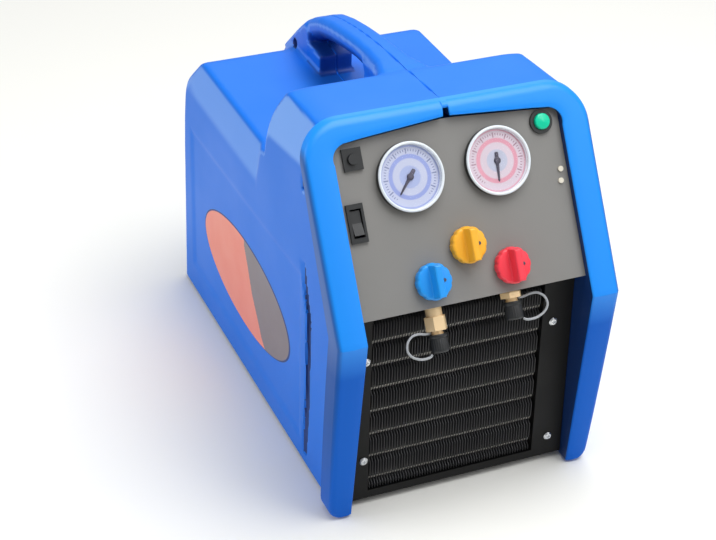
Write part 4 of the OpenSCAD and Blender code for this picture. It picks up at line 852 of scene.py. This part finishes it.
def build_gauges():
    """Two gauges: a turned case with a rolled white lip and a black wall, a printed card and a needle."""
    case_v, case_f = lathe(CASE_PROFILE, CASE_SIDES)
    ring = np.arange(len(case_f)) // CASE_SIDES
    needle_v, needle_f = needle_mesh()
    for side, (gx, rest, card, slot) in GAUGES.items():
        bezel = mesh_piece("gauge_bezel_" + side, on_panel(case_v, gx, GAUGE_V, PANEL_W), case_f,
                           [M_BEZEL, M_BPLAS], stands_for=("gauge_case_" + side,),
                           flat_angle=50)
        second_material(bezel, (ring >= BLACK_WALL[0]) & (ring <= BLACK_WALL[1]))
        build_card(side, gx, card)
        a = math.radians(rest)
        turn = np.array([[math.cos(a), -math.sin(a), 0], [math.sin(a), math.cos(a), 0], [0, 0, 1.0]])
        turned = needle_v @ turn.T + [0, 0, NEEDLE_H]
        mesh_piece("gauge_needle_" + side, on_panel(turned, gx, GAUGE_V, PANEL_W), needle_f, [M_NEEDLE],
                   body=side + "_pointer", stands_for=("gauge_pointer_" + side,), flat_angle=40)


build_gauges()

# Side label: middle, half length and half height, its surface, and the line that parts its two fields
LABEL_Y, LABEL_Z, LABEL_A, LABEL_B = 268.0, 102.8, 123.9, 51.2
LABEL_X = -119.75
DIVIDER = np.array([(59, 214), (66, 223), (82, 234), (102, 249), (128, 260.5), (144, 269)])


def label_mesh(rings=112, sides=480):
    """Oval disc of rings that follows the drawn-in side and dips at its edge. A face takes the front field
    where it lies before the divider line, and the shadow blue on the edge."""
    share = np.concatenate([np.linspace(0.0, 0.955, rings - 3), [0.972, 0.986, 1.0]])
    turn = np.arange(sides) * 2 * math.pi / sides
    y = LABEL_Y + (LABEL_A - 0.6) * share[:, None] * np.cos(turn)
    z = LABEL_Z + (LABEL_B - 0.6) * share[:, None] * np.sin(turn)
    dip = 0.5 * np.clip((share - 0.96) / 0.02, 0.0, 1.0)[:, None]
    verts = np.stack([LABEL_X + dip + draft_at(z), y, z], axis=-1).reshape(-1, 3)
    faces = ring_faces(rings, sides)
    mid = verts[faces].mean(axis=1)
    front = mid[:, 1] < np.interp(mid[:, 2], DIVIDER[:, 0], DIVIDER[:, 1])
    edge = np.repeat(share[:-1] > 0.95, sides)
    return verts, faces, np.where(edge, 2, front)


def build_label():
    """Coral film behind and dark grey film in front of a curved divider."""
    verts, faces, field = label_mesh()
    label = mesh_piece("oval_side_label", to_m(verts), faces, [M_LABEL, M_LABEL_DARK, M_GROOVE],
                       stands_for=("side_label",), flat_angle=60)
    second_material(label, field)


build_label()

# Condenser: its height above the tray, the tube rows, and the fins' front, back, spacing and thickness
TRAY_TOP = 7.0
COND_LOW, COND_HIGH = TRAY_TOP + 8.0, KINK + 6.7
TUBE_ROWS = 8
TUBE_LOW = COND_LOW + 9.5
TUBE_PITCH = (COND_HIGH - 8.7 - TUBE_LOW) / (TUBE_ROWS - 1)
FIN_FRONT, FIN_BACK, FIN_STEP, FIN_THICK = 36.6, 79.2, 2.6, 0.4
DIP_DEPTH, DIP_HALF = 4.2, 4.4


def fin_mesh(rows=130):
    """Thin plates, each from a front edge that dips back as a parabola at every tube and waves sideways, to a
    straight back edge. One plate's points and faces are worked out once and repeated across."""
    z = np.linspace(COND_LOW + 0.5, COND_HIGH - 4.0, rows)
    tubes = TUBE_LOW + np.arange(TUBE_ROWS)[:, None] * TUBE_PITCH
    dip = (DIP_DEPTH * np.clip(1.0 - ((z - tubes) / DIP_HALF) ** 2, 0.0, 1.0)).max(axis=0)
    front = np.stack([0.21 * np.sin(z * 2.2), FIN_FRONT + dip, z], axis=1)
    back = np.stack([0.0 * z, np.full(rows, FIN_BACK), z], axis=1)
    one_face = np.concatenate([front, back])
    plate = np.concatenate([one_face + [-FIN_THICK / 2, 0, 0], one_face + [FIN_THICK / 2, 0, 0]])
    a = np.arange(rows - 1)
    b, c, d = a + 1, a + rows, a + rows + 1
    e, f, g, h = (k + 2 * rows for k in (a, b, c, d))
    quads = (a, b, d, c), (e, g, h, f), (a, e, f, b), (c, d, h, g)
    walls = np.concatenate([np.stack(q, axis=1) for q in quads])
    end = np.array([0, rows, 3 * rows, 2 * rows])
    faces = np.concatenate([walls, [end, end[[0, 3, 2, 1]] + rows - 1]])
    xs = np.arange(-84.8, 74.0, FIN_STEP)
    verts = plate + xs[:, None, None] * [1, 0, 0]
    return verts.reshape(-1, 3), (faces + np.arange(len(xs))[:, None, None] * len(plate)).reshape(-1, 4)


def build_fins():
    """The pack of fins, left flat-shaded as cut sheet."""
    verts, faces = fin_mesh()
    mesh_piece("condenser_fin_pack", to_m(verts), faces, [M_FIN], stands_for=("condenser_fins",),
               smooth=False)


build_fins()

# Port caps with moulded ribs: each port's place on the face and the side to which its strap loops
PORTS = {"left": (-36.0, -3.0, 1.0), "right": (37.0, 11.0, -1.0)}
PORT_W = -18.9
CAP_PROFILE = [(5.6, 0.3), (7.9, 0.3), (8.2, 0.7), (8.2, 2.8), (7.6, 3.4), (7.6, 4.0), (8.15, 4.6),
               (8.15, 13.2)] + arc(5.7, 14.0, 2.3, 0, 90, 6) + [(0.4, 16.5)]
# Strap from cap to port: sideways, along the port and out of the face, as in the part's source
STRAP_ROUTE = [(-6, 1.5, 0), (-11.5, 1.7, 0.5), (-17, 3, 2), (-24, 2.5, 3), (-29.5, -2, 4), (-31, -9, 4),
               (-27, -15, 3), (-19, -18.5, 2), (-11, -18.5, 1), (-8.1, -16.8, 0)]
STRAP_R = 0.95


def build_caps():
    """Ribbed caps turned about their ports, and the vinyl straps that tie them, blended from port to cap."""
    cap_v, cap_f = lathe(CAP_PROFILE, 96, ribs=24, depth=0.5, ribbed=(4.5, 13.3))
    for side, (px, pv, way) in PORTS.items():
        down = cap_v[:, [0, 2, 1]] * [1, -1, 1]
        mesh_piece("port_cap_" + side, on_panel(down, px, pv, PORT_W), cap_f, [M_BPLAS], body=side + "_cap",
                   stands_for=("cap_" + side,), flat_angle=45)
        strap_v, strap_f = tube(spline(np.array(STRAP_ROUTE) * [way, 1, 1], 8), STRAP_R, 12, 1.15)
        tie = mesh_piece("cap_tie_" + side, on_panel(strap_v, px, pv, PORT_W), strap_f, [M_STRAP], body=None,
                         stands_for=("strap_" + side,))
        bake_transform(tie)


build_caps()

# Camera, fitted to the photograph's edges: place in millimetres, turns in degrees, focal length in its pixels
CAM = np.array([-627.96, -1184.59, 1088.49])
YAW, PITCH, ROLL = (math.radians(a) for a in (-23.32, -32.22, 1.41))
FOCAL_PX, PHOTO_W_PX = 1900.0, 716.0
# Principal point of the photograph, a fifth of a pixel from its middle
CENTRE_OFF_PX = 0.2
SENSOR_MM = 36.0


def place_camera():
    """Right, up and back of the camera from its yaw and pitch, then turned by its roll."""
    fwd = np.array([-math.sin(YAW) * math.cos(PITCH), math.cos(YAW) * math.cos(PITCH), math.sin(PITCH)])
    level = np.array([math.cos(YAW), math.sin(YAW), 0.0])
    up = np.cross(level, fwd)
    right = math.cos(ROLL) * level + math.sin(ROLL) * up
    up = -math.sin(ROLL) * level + math.cos(ROLL) * up
    data = bpy.data.cameras.new("camera")
    data.sensor_width = SENSOR_MM
    data.lens = FOCAL_PX / PHOTO_W_PX * SENSOR_MM
    data.shift_x = CENTRE_OFF_PX / PHOTO_W_PX
    data.clip_end = 50.0
    cam = bpy.data.objects.new("camera", data)
    bpy.context.scene.collection.objects.link(cam)
    turned = Matrix([[right[i], up[i], -fwd[i], 0.0] for i in range(3)] + [[0, 0, 0, 1.0]])
    turned.translation = Vector(to_m(CAM)[0])
    cam.matrix_world = turned
    bpy.context.scene.camera = cam


place_camera()


# Studio: soft overhead and side light, and a white background for the camera and through the lenses
def studio_world():
    """Weak even light for the machine, and plain white where the camera or a lens looks past it."""
    world = bpy.data.worlds.new("studio")
    bpy.context.scene.world = world
    world.use_nodes = True
    t = world.node_tree
    for n in list(t.nodes):
        t.nodes.remove(n)
    rays = add(t, "ShaderNodeLightPath")
    soft = add(t, "ShaderNodeBackground", in_Color=(1, 1, 1, 1), in_Strength=0.36)
    white = add(t, "ShaderNodeBackground", in_Color=(1, 1, 1, 1), in_Strength=1.0)
    past = rays.outputs["Is Camera Ray"], rays.outputs["Is Transmission Ray"]
    seen = add(t, "ShaderNodeMath", {0: past[0], 1: past[1]}, operation="MAXIMUM")
    mix = add(t, "ShaderNodeMixShader", {0: seen.outputs[0], 1: soft.outputs[0], 2: white.outputs[0]})
    add(t, "ShaderNodeOutputWorld", {"Surface": mix.outputs[0]})


# Lamps: place and aim in metres, size and power in watts
LAMPS = {"key_top": ((0.35, -0.3, 1.7), (0, 0, 0.15), (1.3, 1.3), 24),
         "back_sheen": ((0.95, 1.9, 1.6), (0, 0.1, 0.3), (1.7, 1.1), 8),
         "front_right": ((0.85, -1.15, 1.2), (0, -0.1, 0.25), (0.9, 0.8), 3.6),
         "left_fill": ((-1.6, 0.3, 0.9), (0, 0, 0.15), (1.0, 1.0), 8)}


def studio_lamps():
    """Soft boxes, each turned to look at its aim."""
    for name, (at, aim, size, power) in LAMPS.items():
        d = bpy.data.lights.new(name, "AREA")
        d.shape = "RECTANGLE"
        d.size, d.size_y = size
        d.energy = power
        lamp = bpy.data.objects.new(name, d)
        bpy.context.scene.collection.objects.link(lamp)
        lamp.location = at
        lamp.rotation_euler = (Vector(aim) - Vector(at)).to_track_quat("-Z", "Y").to_euler()


def studio_floor(half=6):
    """Pale floor near the machine; seen from the camera it fades into the white background further out."""
    me = bpy.data.meshes.new("floor")
    corners = [(-half, -half, 0), (half, -half, 0), (half, half, 0), (-half, half, 0)]
    me.from_pydata(corners, [], [(0, 1, 2, 3)])
    floor = bpy.data.objects.new("floor", me)
    bpy.context.scene.collection.objects.link(floor)
    m, t, b = material("studio_floor_white", "#fffffa", 0.85)
    place = add(t, "ShaderNodeTexCoord").outputs["Object"]
    away = add(t, "ShaderNodeVectorMath", {0: place}, operation="LENGTH").outputs["Value"]
    fade = add(t, "ShaderNodeMapRange", {"Value": away}, in_1=0.8, in_2=2.4, in_3=0.0, in_4=1.0)
    camera_ray = add(t, "ShaderNodeLightPath").outputs["Is Camera Ray"]
    share = add(t, "ShaderNodeMath", {0: fade.outputs["Result"], 1: camera_ray}, operation="MULTIPLY")
    white = add(t, "ShaderNodeEmission", in_Color=(1, 1, 1, 1), in_Strength=1.0)
    mix = add(t, "ShaderNodeMixShader", {0: share.outputs[0], 1: b.outputs[0], 2: white.outputs[0]})
    t.links.new(mix.outputs[0], t.nodes["Material Output"].inputs["Surface"])
    me.materials.append(m)


studio_world()
studio_lamps()
studio_floor()
bpy.context.scene.view_settings.view_transform = "Standard"
